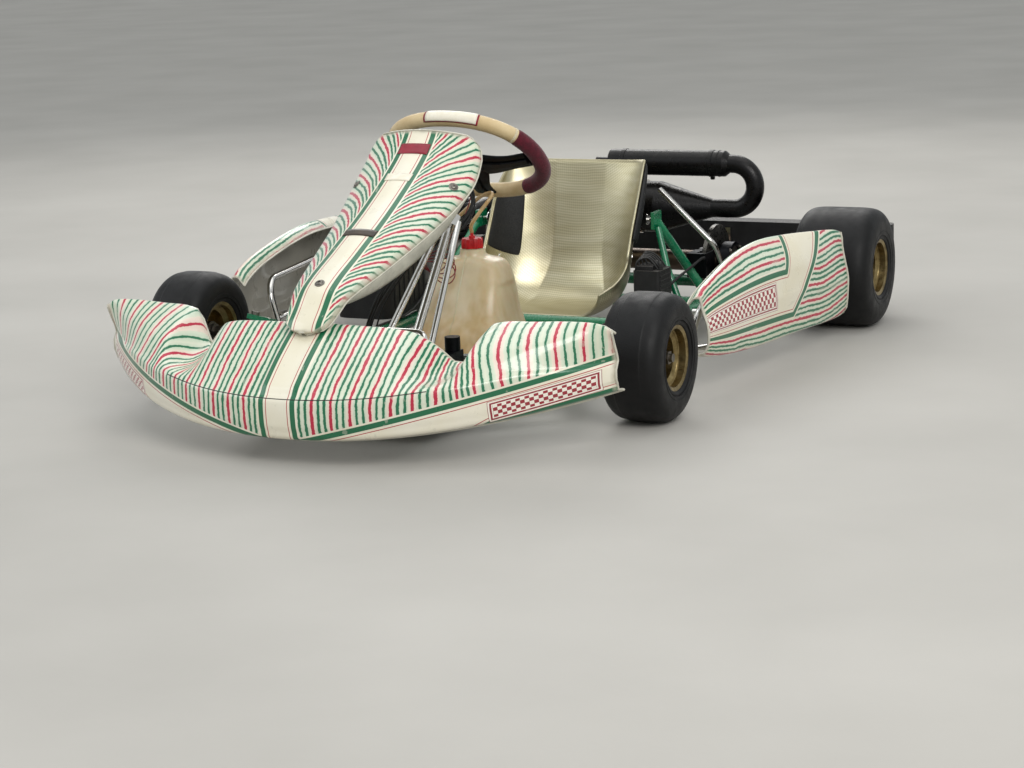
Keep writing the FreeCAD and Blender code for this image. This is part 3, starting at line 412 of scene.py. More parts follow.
def livery():
    """Cream gloss plastic with hand-drawn red and green lines, bold framing lines and blank name boxes. The
    attribute flow counts the lines, pitch is the distance between them in mm, plain is the depth into
    undecorated bands in mm and rim is the distance from the free edge in mm."""
    finish = Finish("livery_shell_gloss", coat_weight=0.55, coat_roughness=0.08)
    flow, pitch, plain, rim = (finish.value(name) for name in ("flow", "pitch", "plain", "rim"))
    sway = (finish.noise(13, 2.0) - 0.5) * 9.0
    shake = (finish.noise(85) - 0.5) * 4.5
    drawn = flow + (sway + shake) / pitch
    off_centre = abs(finish.calc("FRACT", drawn) - 0.5)
    reddish = finish.calc("LESS_THAN", finish.calc("FRACT", drawn / LINE_COLOURS), 0.3333)
    ragged = (finish.noise(380, 2.0) - 0.5) * 1.6
    width_mm = finish.noise(15, 2.0).ramp(0.3, 0.7, 2.0, 2.9) + ragged + reddish * 0.4
    width_mm = finish.calc("MINIMUM", width_mm, pitch * 0.26)
    drawn_here = plain.ramp(-INK_FROM_MM - 0.6, -INK_FROM_MM, 1.0, 0.0)
    inked = (width_mm - off_centre * pitch).ramp(-0.25, 0.25) * drawn_here

    aged = finish.noise(7, 4.0).ramp(0.3, 0.7)
    cream = finish.mix(aged, "e2dac0", "ebe6d6")
    tint = finish.mix(reddish, "b7d0b8", "e4c9bd")
    ground = finish.mix(off_centre.ramp(0.12, 0.5, 0.8, 0.35) * drawn_here, cream, tint)
    finish.colour = finish.mix(inked, ground, finish.mix(reddish, "0c6a46", "b5173a"))
    bold = abs(plain).ramp(BOLD_HALF_MM, BOLD_HALF_MM + 0.6, 1.0, 0.0)
    finish.paint(bold, "06643f")
    finish.paint(abs(plain - PIN_AT_MM).ramp(0.7, 1.1, 1.0, 0.0), "b04a4c")
    name_boxes(finish)
    return worn_shell(finish, inked, aged, rim)


def worn_shell(finish, inked, aged, rim):
    """Adds stains, worn rims, scratches and the plain inner side to the printed colour."""
    stains = finish.cells(150).ramp(0.075, 0.05) * finish.noise(22, 2.0).ramp(0.56, 0.62)
    finish.paint(stains * 0.5, "6b5d45")
    worn = rim.ramp(9.0, 3.0) * finish.noise(60, 4.0).ramp(0.35, 0.6, 0.35, 0.95)
    finish.paint(worn, "b9b3a0")
    scratch = finish.noise(55, 3.0, (1, 0.06, 1), (0.5, 0.3, 0.9)).ramp(0.66, 0.70)
    finish.paint(scratch * 0.35, "c9c6b4")
    towards = finish.add("VectorMath", operation="DOT_PRODUCT")
    finish.feed(towards.inputs[0], finish.add("Attribute", attribute_name="outward").outputs["Vector"])
    finish.feed(towards.inputs[1], finish.add("NewGeometry").outputs["Normal"])
    inside = finish.calc("LESS_THAN", towards.outputs["Value"], 0.0)
    finish.paint(inside, finish.mix(aged, "a9a59a", "bdb9ad"))
    rough = finish.noise(26, 5.0).ramp(0.3, 0.75, 0.24, 0.42)
    finish.set(roughness=rough + scratch * 0.15)
    finish.bump(finish.noise(11, 2.0), 0.004, 0.25)
    return finish.bump(inked, 0.0003, 0.35)


def name_boxes(finish):
    """Blank name boxes: a white plate, a dark red frame and a plain chequer strip. The attribute label holds
    the place across and up in mm from the box's middle and the box's half height; label_ratio is its
    slenderness."""
    across, up, half = finish.triple("label")
    depth = finish.calc("MINIMUM", half * finish.value("label_ratio") - abs(across), half - abs(up))
    finish.paint(depth.ramp(0.0, 0.5), "8d3a3c")
    finish.paint(depth.ramp(0.9, 1.3), "efe9dc")
    finish.paint(abs(depth - 5.2).ramp(1.3, 1.7, 1.0, 0.0), "8e1c2c")
    square = half / 3.0
    column, row = (finish.calc("FLOOR", place / square) for place in (across, up))
    parity = finish.calc("PINGPONG", column + row, 1.0)
    finish.paint(depth.ramp(8.4, 8.7) * parity.ramp(0.4, 0.6), "96202f")


def seat_weave():
    """Silver-gold fibre cloth under clear resin. The attribute threads measures the cloth in mm."""
    finish = Finish("seat_weave_fibre", metallic=0.85, coat_weight=0.3, coat_roughness=0.12, anisotropic=0.2)
    across, along, _ = finish.triple("threads")
    warp = finish.calc("SINE", across * (math.tau / WARP_MM))
    weft = finish.calc("SINE", (along + finish.noise(12, 2.0) * 9.0) * (math.tau / WEFT_MM))
    cloth = warp * 0.5 + weft
    streaks = finish.noise(24, 3.0, (0.25, 1, 2.0)).ramp(0.3, 0.7)
    base = finish.mix(streaks, "b3aa88", "cbc4a6")
    finish.colour = finish.mix(cloth.ramp(-1.2, 1.0), finish.mix(0.42, base, "6d6548"), base)
    finish.paint(finish.noise(5, 2.0).ramp(0.35, 0.7) * 0.25, "d8d2ba")
    finish.set(roughness=finish.noise(9, 2.0).ramp(0.3, 0.7, 0.30, 0.40))
    return finish.bump(cloth, 0.00008, 0.3)


def tank_plastic():
    """Translucent moulded plastic, yellowed, with amber fuel standing low inside, upright streaks of painted
    highlight and painted shade on one flank.
    """
    finish = Finish("tank_plastic_milky", subsurface_weight=0.3, subsurface_scale=0.03, coat_weight=0.35,
                    coat_roughness=0.2)
    across, along, height = finish.split(finish.place)
    level = height + (finish.noise(14) - 0.5) * 0.02
    upper = finish.mix(finish.noise(18, 4.0).ramp(0.3, 0.7), "bda67a", "d0bf9a")
    lower = finish.mix(finish.noise(25).ramp(0.3, 0.7), "9c7c49", "b3935f")
    finish.colour = finish.mix(level.ramp(0.085, 0.190), lower, upper)
    # painted highlight: pale upright streaks laid over the tank's colour
    painted_highlight_streak = finish.noise(26, 2.0, (1, 1, 0.12)).ramp(0.45, 0.68)
    finish.paint(painted_highlight_streak * 0.45, "ded3b8")
    # painted shade: the tank darkens towards the kart's left and rear
    painted_shade = (across + along * 0.6).ramp(-0.02, 0.07)
    finish.paint(painted_shade * 0.35, "8f8468")
    finish.paint(level.ramp(0.066, 0.054), "a8641f")
    finish.set(roughness=finish.noise(90).ramp(0.3, 0.7, 0.28, 0.42))
    return finish.bump(finish.noise(30), 0.003, 0.35)


def cream_leather():
    """Smooth leather with darker pores."""
    finish = Finish("wheel_leather_cream", sheen_weight=0.15)
    hide = finish.cells(700)
    finish.colour = finish.mix(finish.noise(22, 4.0).ramp(0.3, 0.72), "c3a878", "dcc79c")
    finish.paint(hide.ramp(0.0, 0.25, 0.35, 0.0), "5e4a2c")
    finish.set(roughness=finish.noise(120).ramp(0.3, 0.7, 0.42, 0.62))
    return finish.bump(hide, 0.0007, 0.5)


def suede():
    """Wine-red suede with a soft nap."""
    finish = Finish("grip_suede_red", sheen_weight=0.25, sheen_roughness=0.4, roughness=0.92)
    nap = finish.noise(90, 5.0, roughness=0.7).ramp(0.3, 0.7)
    finish.set(base_color=finish.mix(nap, "45081a", "660f26"))
    return finish.bump(finish.noise(1500), 0.0006, 0.7)


def tyre_rubber():
    """Black slick rubber with a soft bloom and fine scuffs."""
    finish = Finish("tyre_rubber_slick", specular_IOR_level=0.28)
    bloom = finish.noise(16, 5.0, roughness=0.6).ramp(0.3, 0.7)
    scuff = finish.noise(240, 4.0, roughness=0.7).ramp(0.52, 0.72)
    finish.colour = finish.mix(bloom, "070708", "0f0f10")
    finish.paint(scuff * 0.2, "262422")
    finish.set(roughness=finish.noise(40, 4.0).ramp(0.3, 0.7, 0.42, 0.6))
    return finish.bump(finish.noise(700, 4.0), 0.0008, 0.5)


def turned(name, dark, light, rough, fineness=520, axis="X"):
    """Metal turned on a lathe: fine rings across the turning axis, with grime between them."""
    finish = Finish(name, metallic=1.0)
    grime = finish.noise(45, 5.0, roughness=0.65).ramp(0.34, 0.66)
    finish.set(base_color=finish.mix(grime, dark, light),
               roughness=finish.noise(160, 4.0).ramp(0.3, 0.7, *rough))
    rings = finish.pattern("TexWave", "Fac", scale=fineness, distortion=1.2)
    rings.socket.node.bands_direction = axis
    return finish.bump(rings, 0.00015, 0.35)


def amber_hose():
    """Soft clear tube, tinted by the fuel in it."""
    finish = Finish("hose_amber_clear", transmission_weight=0.35, roughness=0.18, IOR=1.4)
    finish.set(base_color=finish.mix(finish.noise(40), "c08a3c", "f0dcae"))
    return finish.bump(finish.noise(200, 2.0), 0.0003, 0.3)


SLOT_FINISH = {
    "livery_shell": livery(),
    "seat_weave": seat_weave(),
    "tank_plastic": tank_plastic(),
    "wheel_leather": cream_leather(),
    "tyre_rubber": tyre_rubber(),
    "frame_green": mottled("frame_green_paint", "06613f", "0a7a50", (0.16, 0.34), 20, 0.0002, 500, 0.25,
                           coat_weight=0.5),
    "bright_plating": mottled("bright_plating_chrome", "cfcdc8", "e2e0dc", (0.09, 0.15), 12, metallic=1.0),
    "tray_alloy": mottled("tray_alloy_scuffed", "7d7c79", "a9a8a4", (0.3, 0.5), 24, 0.0003, dust=0.3,
                          stretch=(6, 0.5, 1), metallic=0.9),
    "black_plastic": mottled("black_plastic_moulded", "0e0e0f", "1d1d1e", (0.38, 0.58), 30, 0.0006, dust=0.3),
    "red_plastic": mottled("red_plastic_cap", "9d0f14", "c71a1e", (0.3, 0.45), 60, 0.0003),
    "hose_rubber": mottled("hose_rubber_black", "121212", "222120", (0.5, 0.7), 80, 0.0004, 1400),
    "rim_gold": turned("rim_gold_bronze", "6d5d3c", "a8966b", (0.26, 0.44)),
    "black_alloy": mottled("black_alloy_anodised", "101114", "1e1f22", (0.3, 0.46), 50, 0.0002,
                           metallic=0.85),
    "machined_alloy": turned("machined_alloy_turned", "8b8a86", "b8b7b3", (0.2, 0.38)),
    "cast_alloy": mottled("cast_alloy_rough", "5d5c58", "8c8a84", (0.42, 0.62), 45, 0.0012, 420, 0.3,
                          metallic=0.85),
    "steel": mottled("steel_bare", "5b5752", "8f8a82", (0.28, 0.5), 40, 0.0002, metallic=1.0),
    "disc_iron": turned("disc_iron_worn", "4c4a47", "86837d", (0.22, 0.42), 380, "Z"),
    "exhaust_black": mottled("exhaust_black_satin", "0b0b0c", "171617", (0.22, 0.4), 14, 0.0004, 300, 0.1,
                             metallic=0.55),
    "engine_black": mottled("engine_black_paint", "121214", "262628", (0.35, 0.55), 40, 0.001, 500, 0.35,
                            metallic=0.4),
}
RED_SUEDE = suede()
AMBER_HOSE = amber_hose()
THREAD = mottled("stitch_thread", "b5a37c", "e9dfc6", (0.6, 0.8), 400, 0.0002)
SKIRT = mottled("shell_edge_grey", "b7b4a6", "d6d2c2", (0.35, 0.5), 25, 0.0003)
WIRE_RED = mottled("wire_red", "5e0d0f", "8c1a1a", (0.35, 0.5), 120, 0.0002)
AXLE_STEEL = mottled("axle_steel_brown", "4a4038", "6f6257", (0.3, 0.48), 18, 0.0002, stretch=(0.4, 1, 1),
                     metallic=1.0)
PAD = mottled("seat_pad_black", "0c0c0d", "191919", (0.55, 0.8), 50, 0.0008, 700)
PLATE_WHITE = mottled("name_plate_white", "e4dcc6", "efe9da", (0.3, 0.45), 60)
PLATE_WINE = mottled("name_plate_wine", "7a1426", "961c30", (0.3, 0.45), 60)
PLATE_DARK = mottled("name_plate_dark", "241a10", "3a2a14", (0.3, 0.45), 60)


def dress_cad_nodes():
    """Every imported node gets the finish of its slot; the rear axle is browner than other steel."""
    for name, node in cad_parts.items():
        for holder in node.material_slots:
            slot_name = holder.material.name.split(".")[0] if holder.material else "steel"
            look = SLOT_FINISH.get(slot_name, SLOT_FINISH["steel"])
            holder.material = AXLE_STEEL if name == "rear_axle" else look


# ---------------------------------------------------------------- bodywork
FAIRING_LOW, FAIRING_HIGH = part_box("front_fairing")
HALF_WIDTH = FAIRING_HIGH.x
NOSE = FAIRING_LOW.y
SHELL = 3.5 * MM
BAND_HALF_MM = 34.0
DIAGONAL_SLOPE, DIAGONAL_FROM_MM, DIAGONAL_HEIGHT_MM = 132 / 523, 42, 52
LABEL_CENTRE_MM, LABEL_DROP_MM, LABEL_HALF_MM, LABEL_RATIO = 462, 34, 20.5, 4.1
FAIRING_COLUMNS, FAIRING_STEPS = 240, 96
CREASE_STEP = 40
SEAM_COLUMNS = slice(60, 181, 2)
TINY, WIDEST_PITCH_MM = 1e-14, 60.0

# Each row: distance from the middle, then the top edge's place along the kart and its height.
FAIRING_TOP = [(0.0, -0.750, 0.247), (0.110, -0.749, 0.246), (0.202, -0.740, 0.238), (0.238, -0.720, 0.212),
               (0.266, -0.698, 0.178), (0.290, -0.680, 0.180), (0.318, -0.662, 0.224), (0.336, -0.654, 0.245),
               (0.420, -0.642, 0.250), (0.500, -0.634, 0.252), (0.545, -0.629, 0.248), (0.565, -0.626, 0.236)]
# Line counts at distances from the middle in mm, along the crease and along the top edge.
COUNT_LOW = [(34, 0.0), (180, 11.7), (330, 23.7), (450, 33.0), (565, 43.0)]
COUNT_TOP = [(34, 0.0), (110, 6.1), (190, 12.3), (225, 15.2), (248, 18.6), (268, 22.6), (292, 26.0),
             (326, 28.0), (400, 32.0), (480, 37.0), (565, 42.0)]


def line_pitch(rows, flow):
    """The distance between drawn lines in mm at each point of a grid."""
    table = []
    for i, row in enumerate(rows):
        above, below = min(i + 1, len(rows) - 1), max(i - 1, 0)
        entries = []
        for j in range(len(row)):
            ahead, behind = min(j + 1, len(row) - 1), max(j - 1, 0)
            along, across = rows[above][j] - rows[below][j], row[ahead] - row[behind]
            step_a, step_b = flow[above][j] - flow[below][j], flow[i][ahead] - flow[i][behind]
            aa, bb, ab = along.dot(along), across.dot(across), along.dot(across)
            area = max(aa * bb - ab * ab, TINY)
            steep = (step_a * step_a * bb + step_b * step_b * aa - 2 * step_a * step_b * ab) / area
            entries.append(min(1 / MM / math.sqrt(max(steep, 1.0)), WIDEST_PITCH_MM))
        table.append(entries)
    return table


def livery_skin(name, node, samples, ratio, thickness=SHELL, flip=False):
    """A printed shell through rows of (point, flow, plain, label, rim), in place of a CAD node."""
    rows, flow, plain, label, rim = ([[sample[k] for sample in row] for row in samples] for k in range(5))
    values = {"flow": flow, "plain": plain, "label": label, "rim": rim, "pitch": line_pitch(rows, flow),
              "label_ratio": [[ratio] * len(row) for row in rows]}
    order = -1 if flip else 1
    shape = Shape().grid(rows[::order], values={key: table[::order] for key, table in values.items()})
    shape.finish(name, "livery_shell", [node], thickness=thickness)
    return rows


def fairing_profile(x):
    """The outer line from lower edge to upper edge in the plane of one x, as stops of (share, y, z)."""
    reach = abs(x)
    front = NOSE + 0.001 + 0.298 * (reach / HALF_WIDTH) ** 2.2
    low = 0.050 + 0.063 * (reach / 0.560) ** 2
    crease = min(0.135 + 0.020 * (reach / 0.310) ** 2, 0.172)
    top_y, top_z = through(FAIRING_TOP, reach)
    wing = ease(reach, 0.292, 0.334)
    valley = ease(reach, 0.20, 0.262) * (1 - wing)
    mid_y = front + (top_y - front) * (0.50 - 0.09 * wing + 0.06 * valley)
    mid_z = crease + (top_z - crease) * (0.55 + 0.09 * wing - 0.20 * valley)
    return [(0.00, front + 0.036, low), (0.06, front + 0.010, low + 0.006),
            (0.12, front + 0.004, low + 0.020), (0.30, front, (low + crease) / 2),
            (0.40, front + 0.001, crease - 0.006), (0.44, front + 0.010, crease + 0.004),
            (0.70, mid_y, mid_z), (0.93, top_y, top_z), (1.00, top_y + 0.016, top_z - 0.006)]


def fairing_flow(reach_mm, share):
    """Counts the drawn lines: upright at the nose, converging in the valleys and fanning over the wings."""
    reach_mm = max(reach_mm, BAND_HALF_MM)
    wing = ease(reach_mm, 300, 370)
    rise = ease(share, 0.40 - 0.28 * wing, 1.0) ** (1.0 - 0.25 * wing)
    low, top = through(COUNT_LOW, reach_mm)[0], through(COUNT_TOP, reach_mm)[0]
    return low + (top - low) * rise + 0.35


def fairing_plain(reach_mm, height_mm):
    """How deep a point is inside the plain middle band or the plain band under the diagonal line."""
    lower_band = DIAGONAL_HEIGHT_MM + DIAGONAL_SLOPE * max(reach_mm - DIAGONAL_FROM_MM, 0) - height_mm
    if reach_mm > 330:
        second = 58 + 63 * (reach_mm / 560) ** 2
        lower_band = min(lower_band, height_mm - second + 20 * (1 - ease(reach_mm, 330, 400)))
    return max(BAND_HALF_MM - reach_mm, lower_band)


def fairing_label(x, height_mm):
    """A name box near each end of the wings, slanted with the diagonal line."""
    offset = abs(x) / MM - LABEL_CENTRE_MM
    centre = DIAGONAL_HEIGHT_MM + DIAGONAL_SLOPE * (LABEL_CENTRE_MM - DIAGONAL_FROM_MM) - LABEL_DROP_MM
    up = height_mm - centre - DIAGONAL_SLOPE * offset * 0.95
    return math.copysign(offset, offset * x), up, LABEL_HALF_MM


def fairing_sample(x, stops, share):
    """One point of the fairing with what its print needs; a rib runs along the middle of its upper side."""
    y, z = through(stops, share)
    rib = 0.0055 * (1 - ease(abs(x), 0.036, 0.047)) * ease(share, 0.42, 0.50)
    edge_mm = min((1 - share) * 300, share * 300, (HALF_WIDTH - abs(x)) / MM)
    return (Vector((x, y - rib * 0.6, z + rib * 0.8)), fairing_flow(abs(x) / MM, share),
            fairing_plain(abs(x) / MM, z / MM), fairing_label(x, z / MM), edge_mm)


def front_fairing():
    """The nose fairing: a hump, two raised wings and the valleys between them."""
    samples = []
    for i in range(FAIRING_COLUMNS + 1):
        x = HALF_WIDTH * (2 * i / FAIRING_COLUMNS - 1)
        stops = fairing_profile(x)
        samples.append([fairing_sample(x, stops, j / FAIRING_STEPS) for j in range(FAIRING_STEPS + 1)])
    rows = livery_skin("nose_fairing", "front_fairing", samples, LABEL_RATIO, flip=True)
    trim = Shape()
    for line in ([row[-1] for row in rows[::4]], [row[0] for row in rows[::4]], rows[0][::6], rows[-1][::6]):
        trim.tube(line, 2.3 * MM)
    trim.finish("nose_fairing_edge", "livery_shell", look=SKIRT)
    crease = [row[CREASE_STEP] - Y_AXIS * 0.4 * MM for row in rows[SEAM_COLUMNS]]
    Shape().tube(crease, 0.9 * MM, 6).finish("nose_fairing_seam", "black_plastic")


# Each row: place along the kart, height, half width and how far the sides drop below the middle.
PANEL_LINE = [(-0.801, 0.240, 0.006, 0.001), (-0.799, 0.243, 0.026, 0.003), (-0.790, 0.257, 0.045, 0.006),
              (-0.770, 0.277, 0.053, 0.010), (-0.729, 0.317, 0.064, 0.018), (-0.620, 0.366, 0.088, 0.028),
              (-0.506, 0.417, 0.110, 0.038), (-0.420, 0.461, 0.128, 0.045), (-0.352, 0.500, 0.139, 0.048),
              (-0.312, 0.528, 0.137, 0.044), (-0.286, 0.552, 0.129, 0.036), (-0.276, 0.565, 0.108, 0.024)]
PANEL_BAND_MM = 31.0
PANEL_FAN_MM, PANEL_FAN_REACH_MM, PANEL_PITCH_MM = 62, 26, 17.5
PANEL_STEPS, PANEL_COLUMNS = 110, 56
SKIRT_FIRST, SKIRT_LAST, SKIRT_DEPTH = 14, 92, 0.036
NO_LABEL = (0.0, 900.0, 1.0)


def panel_sample(centre, normal, half, drop, t, ends_mm):
    """One point of the panel at t from -1 to 1 across, with what its print needs."""
    sag = drop * abs(t) ** 2.1 + 0.010 * ease(abs(t), 0.93, 1.0)
    point = centre + X_AXIS * (t * half * (1 - 0.02 * abs(t) ** 8)) - normal * sag
    side_mm = abs(point.x) / MM
    fan = PANEL_FAN_MM * (1 - math.exp((PANEL_BAND_MM - max(side_mm, PANEL_BAND_MM)) / PANEL_FAN_REACH_MM))
    return (point, (ends_mm[0] - side_mm * 0.8 - fan) / PANEL_PITCH_MM, PANEL_BAND_MM - side_mm,
            NO_LABEL, min((half / MM - side_mm) * 1.2, *ends_mm))


def front_panel():
    """The crowned number panel, with a plain band between bold lines and slanted lines on its flanks."""
    lengths = [0.0]
    for a, b in zip(PANEL_LINE, PANEL_LINE[1:]):
        lengths.append(lengths[-1] + math.hypot(b[0] - a[0], b[1] - a[1]))
    stops = [(length, *row) for length, row in zip(lengths, PANEL_LINE)]
    samples = []
    for i in range(PANEL_STEPS + 1):
        s = lengths[-1] * i / PANEL_STEPS
        y, z, half, drop = through(stops, s)
        ahead, behind = (through(stops, min(max(s + step, 0), lengths[-1])) for step in (0.004, -0.004))
        run = Vector((0, ahead[0] - behind[0], ahead[1] - behind[1])).normalized()
        samples.append([panel_sample(Vector((0, y, z)), Vector((0, -run.z, run.y)), half, drop,
                                     2 * j / PANEL_COLUMNS - 1, (s / MM, (lengths[-1] - s) / MM))
                        for j in range(PANEL_COLUMNS + 1)])
    rows = livery_skin("number_panel", "front_panel", samples, 1.0, 2.6 * MM)
    Shape().loop(border(rows, 3), 1.7 * MM).finish("number_panel_edge", "livery_shell", look=SKIRT)
    centre = PANEL_COLUMNS // 2
    panel_plates(rows, centre)
    panel_skirt(rows)
    screws = Shape()
    for i, j in ((20, centre), (88, PANEL_COLUMNS - 5), (88, 5)):
        normal = (rows[i + 1][j] - rows[i][j]).cross(rows[i][j + 1] - rows[i][j]).normalized()
        normal *= math.copysign(1, normal.z)
        screws.lathe_mm([(-1, 10), (1, 10), (1.6, 7)], rows[i][j], normal)
        screws.button(rows[i][j] + normal * 1.2 * MM, normal)
    screws.finish("panel_screws", "steel")


def panel_skirt(rows):
    """The plain flange that turns down behind the panel's lower flanks."""
    skirt = Shape()
    for side, column in ((-1, 0), (1, -1)):
        patch = []
        for i in range(SKIRT_FIRST, SKIRT_LAST + 1):
            run = (rows[i + 1][column] - rows[i - 1][column]).normalized()
            down = run.cross(X_AXIS)
            down *= math.copysign(1, -down.z)
            share = (i - SKIRT_FIRST) / (SKIRT_LAST - SKIRT_FIRST)
            depth = SKIRT_DEPTH * math.sin(math.pi * share) ** 0.6 + 0.5 * MM
            patch.append([rows[i][column] + down.normalized() * depth * t - X_AXIS * side * 0.010 * t * t
                          for t in (k / 6 for k in range(7))])
        skirt.grid(patch if side > 0 else patch[::-1])
    skirt.finish("number_panel_skirt", "livery_shell", look=SKIRT, thickness=2 * MM)


def panel_plates(rows, centre):
    """Blank plates across the panel's plain band."""
    lift = Vector((0, -0.6, 0.9)) * MM
    for name, start, end, wide, look in (("panel_plate_upper", 99, 104, 7, PLATE_WINE),
                                         ("panel_plate_middle", 84, 88, 6, PLATE_WHITE),
                                         ("panel_plate_lower", 50, 54, 10, PLATE_DARK)):
        patch = [[point + lift for point in row[centre - wide:centre + wide + 1]]
                 for row in rows[start:end + 1]]
        Shape().grid(patch).finish(name, "livery_shell", look=look, thickness=0.5 * MM)


# Each row: place along the kart, then out, ridge, top and low edges of the left pod.
POD_LINE = [(-0.150, 0.578, 0.556, 0.214, 0.094), (-0.120, 0.584, 0.557, 0.230, 0.086),
            (-0.060, 0.592, 0.560, 0.248, 0.076), (0.060, 0.606, 0.562, 0.271, 0.066),
            (0.180, 0.622, 0.572, 0.281, 0.062), (0.300, 0.638, 0.592, 0.276, 0.060),
            (0.420, 0.655, 0.618, 0.266, 0.056), (0.500, 0.664, 0.638, 0.258, 0.055),
            (0.530, 0.666, 0.645, 0.250, 0.058)]
# The corners of the plain band, in mm along the pod and up it.
POD_BAND = [(-60, 56), (395, 45), (612, 232), (600, 262), (470, 262), (372, 136), (-60, 146)]
POD_HEIGHT_MM, POD_PITCH_MM = 205, 11.0
POD_LABEL_MM, POD_LABEL_HALF_MM, POD_LABEL_RATIO = (152, 99), 29.0, 5.7
POD_STEPS, POD_HEIGHT_STEPS = 150, 60


def pod_sample(side, y, stops, share, z_low, drop):
    """One point of a side pod with what its print needs."""
    start, end = POD_LINE[0][0], POD_LINE[-1][0]
    x, z = through(stops, share)
    along_mm = (y - start) / MM
    up_mm = (z - z_low) / drop * POD_HEIGHT_MM if share > 0.10 else POD_HEIGHT_MM + (0.1 - share) * 300
    edge_mm = min(share * 260, (1 - share) * 260, along_mm, (end - y) / MM)
    label = ((along_mm - POD_LABEL_MM[0]) * side, up_mm - POD_LABEL_MM[1] + (along_mm - 150) * 0.03,
             POD_LABEL_HALF_MM)
    flow = (up_mm + 0.02 * along_mm - 26 * ease(along_mm, 520, 700)) / POD_PITCH_MM
    return Vector((side * x, y, z)), flow, polygon_depth(along_mm, up_mm, POD_BAND), label, edge_mm


def side_pod(side, name):
    """One side pod: an outer skin that curls over the side bumper at the top."""
    start, end = POD_LINE[0][0], POD_LINE[-1][0]
    samples = []
    for i in range(POD_STEPS + 1):
        y = start + (end - start) * i / POD_STEPS
        x_out, x_ridge, z_top, z_low = through(POD_LINE, y)
        half, drop = (z_top + z_low) / 2, z_top - z_low
        stops = [(0.00, x_ridge - 0.026, z_top - 0.020), (0.07, x_ridge - 0.010, z_top - 0.003),
                 (0.13, x_ridge + 0.004, z_top - 0.002), (0.30, x_out - 0.012, z_top - 0.22 * drop),
                 (0.50, x_out - 0.001, half), (0.70, x_out, half - 0.030),
                 (0.88, x_out - 0.005, z_low + 0.012), (0.94, x_out - 0.014, z_low + 0.001),
                 (1.00, x_out - 0.034, z_low)]
        samples.append([pod_sample(side, y, stops, j / POD_HEIGHT_STEPS, z_low, drop)
                        for j in range(POD_HEIGHT_STEPS + 1)])
    rows = livery_skin("side_pod_skin_" + name, "side_pod_" + name, samples, POD_LABEL_RATIO,
                       flip=side < 0)
    Shape().loop(border(rows, 4), 2.3 * MM).finish("side_pod_edge_" + name, "livery_shell", look=SKIRT)


# ---------------------------------------------------------------- seat and tank
# Each row: share of the way from the front lip to the upper edge, then place along the kart, height,
# half width and how far the side walls stand up from the pan.
SEAT_LINE = [(0.00, 0.284, 0.066, 0.150, 0.052), (0.10, 0.330, 0.058, 0.176, 0.082),
             (0.24, 0.400, 0.060, 0.186, 0.116), (0.38, 0.462, 0.086, 0.189, 0.136),
             (0.52, 0.503, 0.150, 0.189, 0.136), (0.68, 0.524, 0.230, 0.188, 0.118),
             (0.85, 0.541, 0.320, 0.187, 0.084), (1.00, 0.556, 0.398, 0.176, 0.030)]
SEAT_STEPS = 72
SEAT_CENTRE = 0.34
SEAT_SMOOTHING = 0.22


def seat_point(share, across):
    """A place on the seat's inner face: across runs from -1 at the right edge to 1 at the left edge."""
    y, z, half, wall = through(SEAT_LINE, share)
    ahead = through(SEAT_LINE, min(share + SEAT_SMOOTHING, 1))
    behind = through(SEAT_LINE, max(share - SEAT_SMOOTHING, 0))
    run = Vector((0, ahead[0] - behind[0], ahead[1] - behind[1])).normalized()
    pan, up = Vector((0, y, z)), Vector((0, -run.z, run.y))
    flat = 0.068 + 0.034 * (1 - ease(share, 0.25, 0.6))
    reach, side = abs(across), math.copysign(1, across)
    if reach < SEAT_CENTRE:
        hollow = 0.006 * math.sin(math.pi * share) * math.cos(math.pi / 2 * reach / SEAT_CENTRE)
        return pan + X_AXIS * side * flat * reach / SEAT_CENTRE + up * (0.004 - hollow)
    turn = min((reach - SEAT_CENTRE) / (1 - SEAT_CENTRE), 1.0)
    out = flat + (half - flat) * (1 - (1 - turn) ** 1.7)
    rise = wall * (0.55 * turn + 0.45 * turn ** 2.6)
    return pan + X_AXIS * side * (out - 0.003) + up * (0.004 + rise * (1 - 0.02 * turn))


def seat_normal(share, across):
    """The direction out of the seat's inner face."""
    beside = seat_point(share, across + 0.01) - seat_point(share, across - 0.01)
    ahead = seat_point(share + 0.01, across) - seat_point(share - 0.01, across)
    return beside.cross(ahead).normalized()


def pad(first, last, start, end, lift, outward):
    """A padded patch on the seat's wing between two places across; it swells in its middle."""
    rows = []
    for i in range(first, last + 1):
        swell = 0.007 * max(math.sin(math.pi * (i - first) / (last - first)), 0.0) ** 0.35
        row = []
        for part in (k / 16 for k in range(17)):
            place = i / SEAT_STEPS, start + (end - start) * part
            height = lift + swell * math.sin(math.pi * part) ** 0.35
            row.append(seat_point(*place) + seat_normal(*place) * outward * height)
        rows.append(row)
    return rows


def seat_threads(rows):
    """The cloth's own measure at each point of the seat: mm from the middle and mm from the front lip."""
    table = []
    along = [0.0] * len(rows[0])
    for before, row in zip(rows[:1] + rows, rows):
        along = [length + (point - last).length / MM for length, point, last in zip(along, row, before)]
        across = [0.0]
        for a, b in zip(row, row[1:]):
            across.append(across[-1] + (b - a).length / MM)
        table.append([(place - across[-1] / 2, length, 0.0) for place, length in zip(across, along)])
    return table


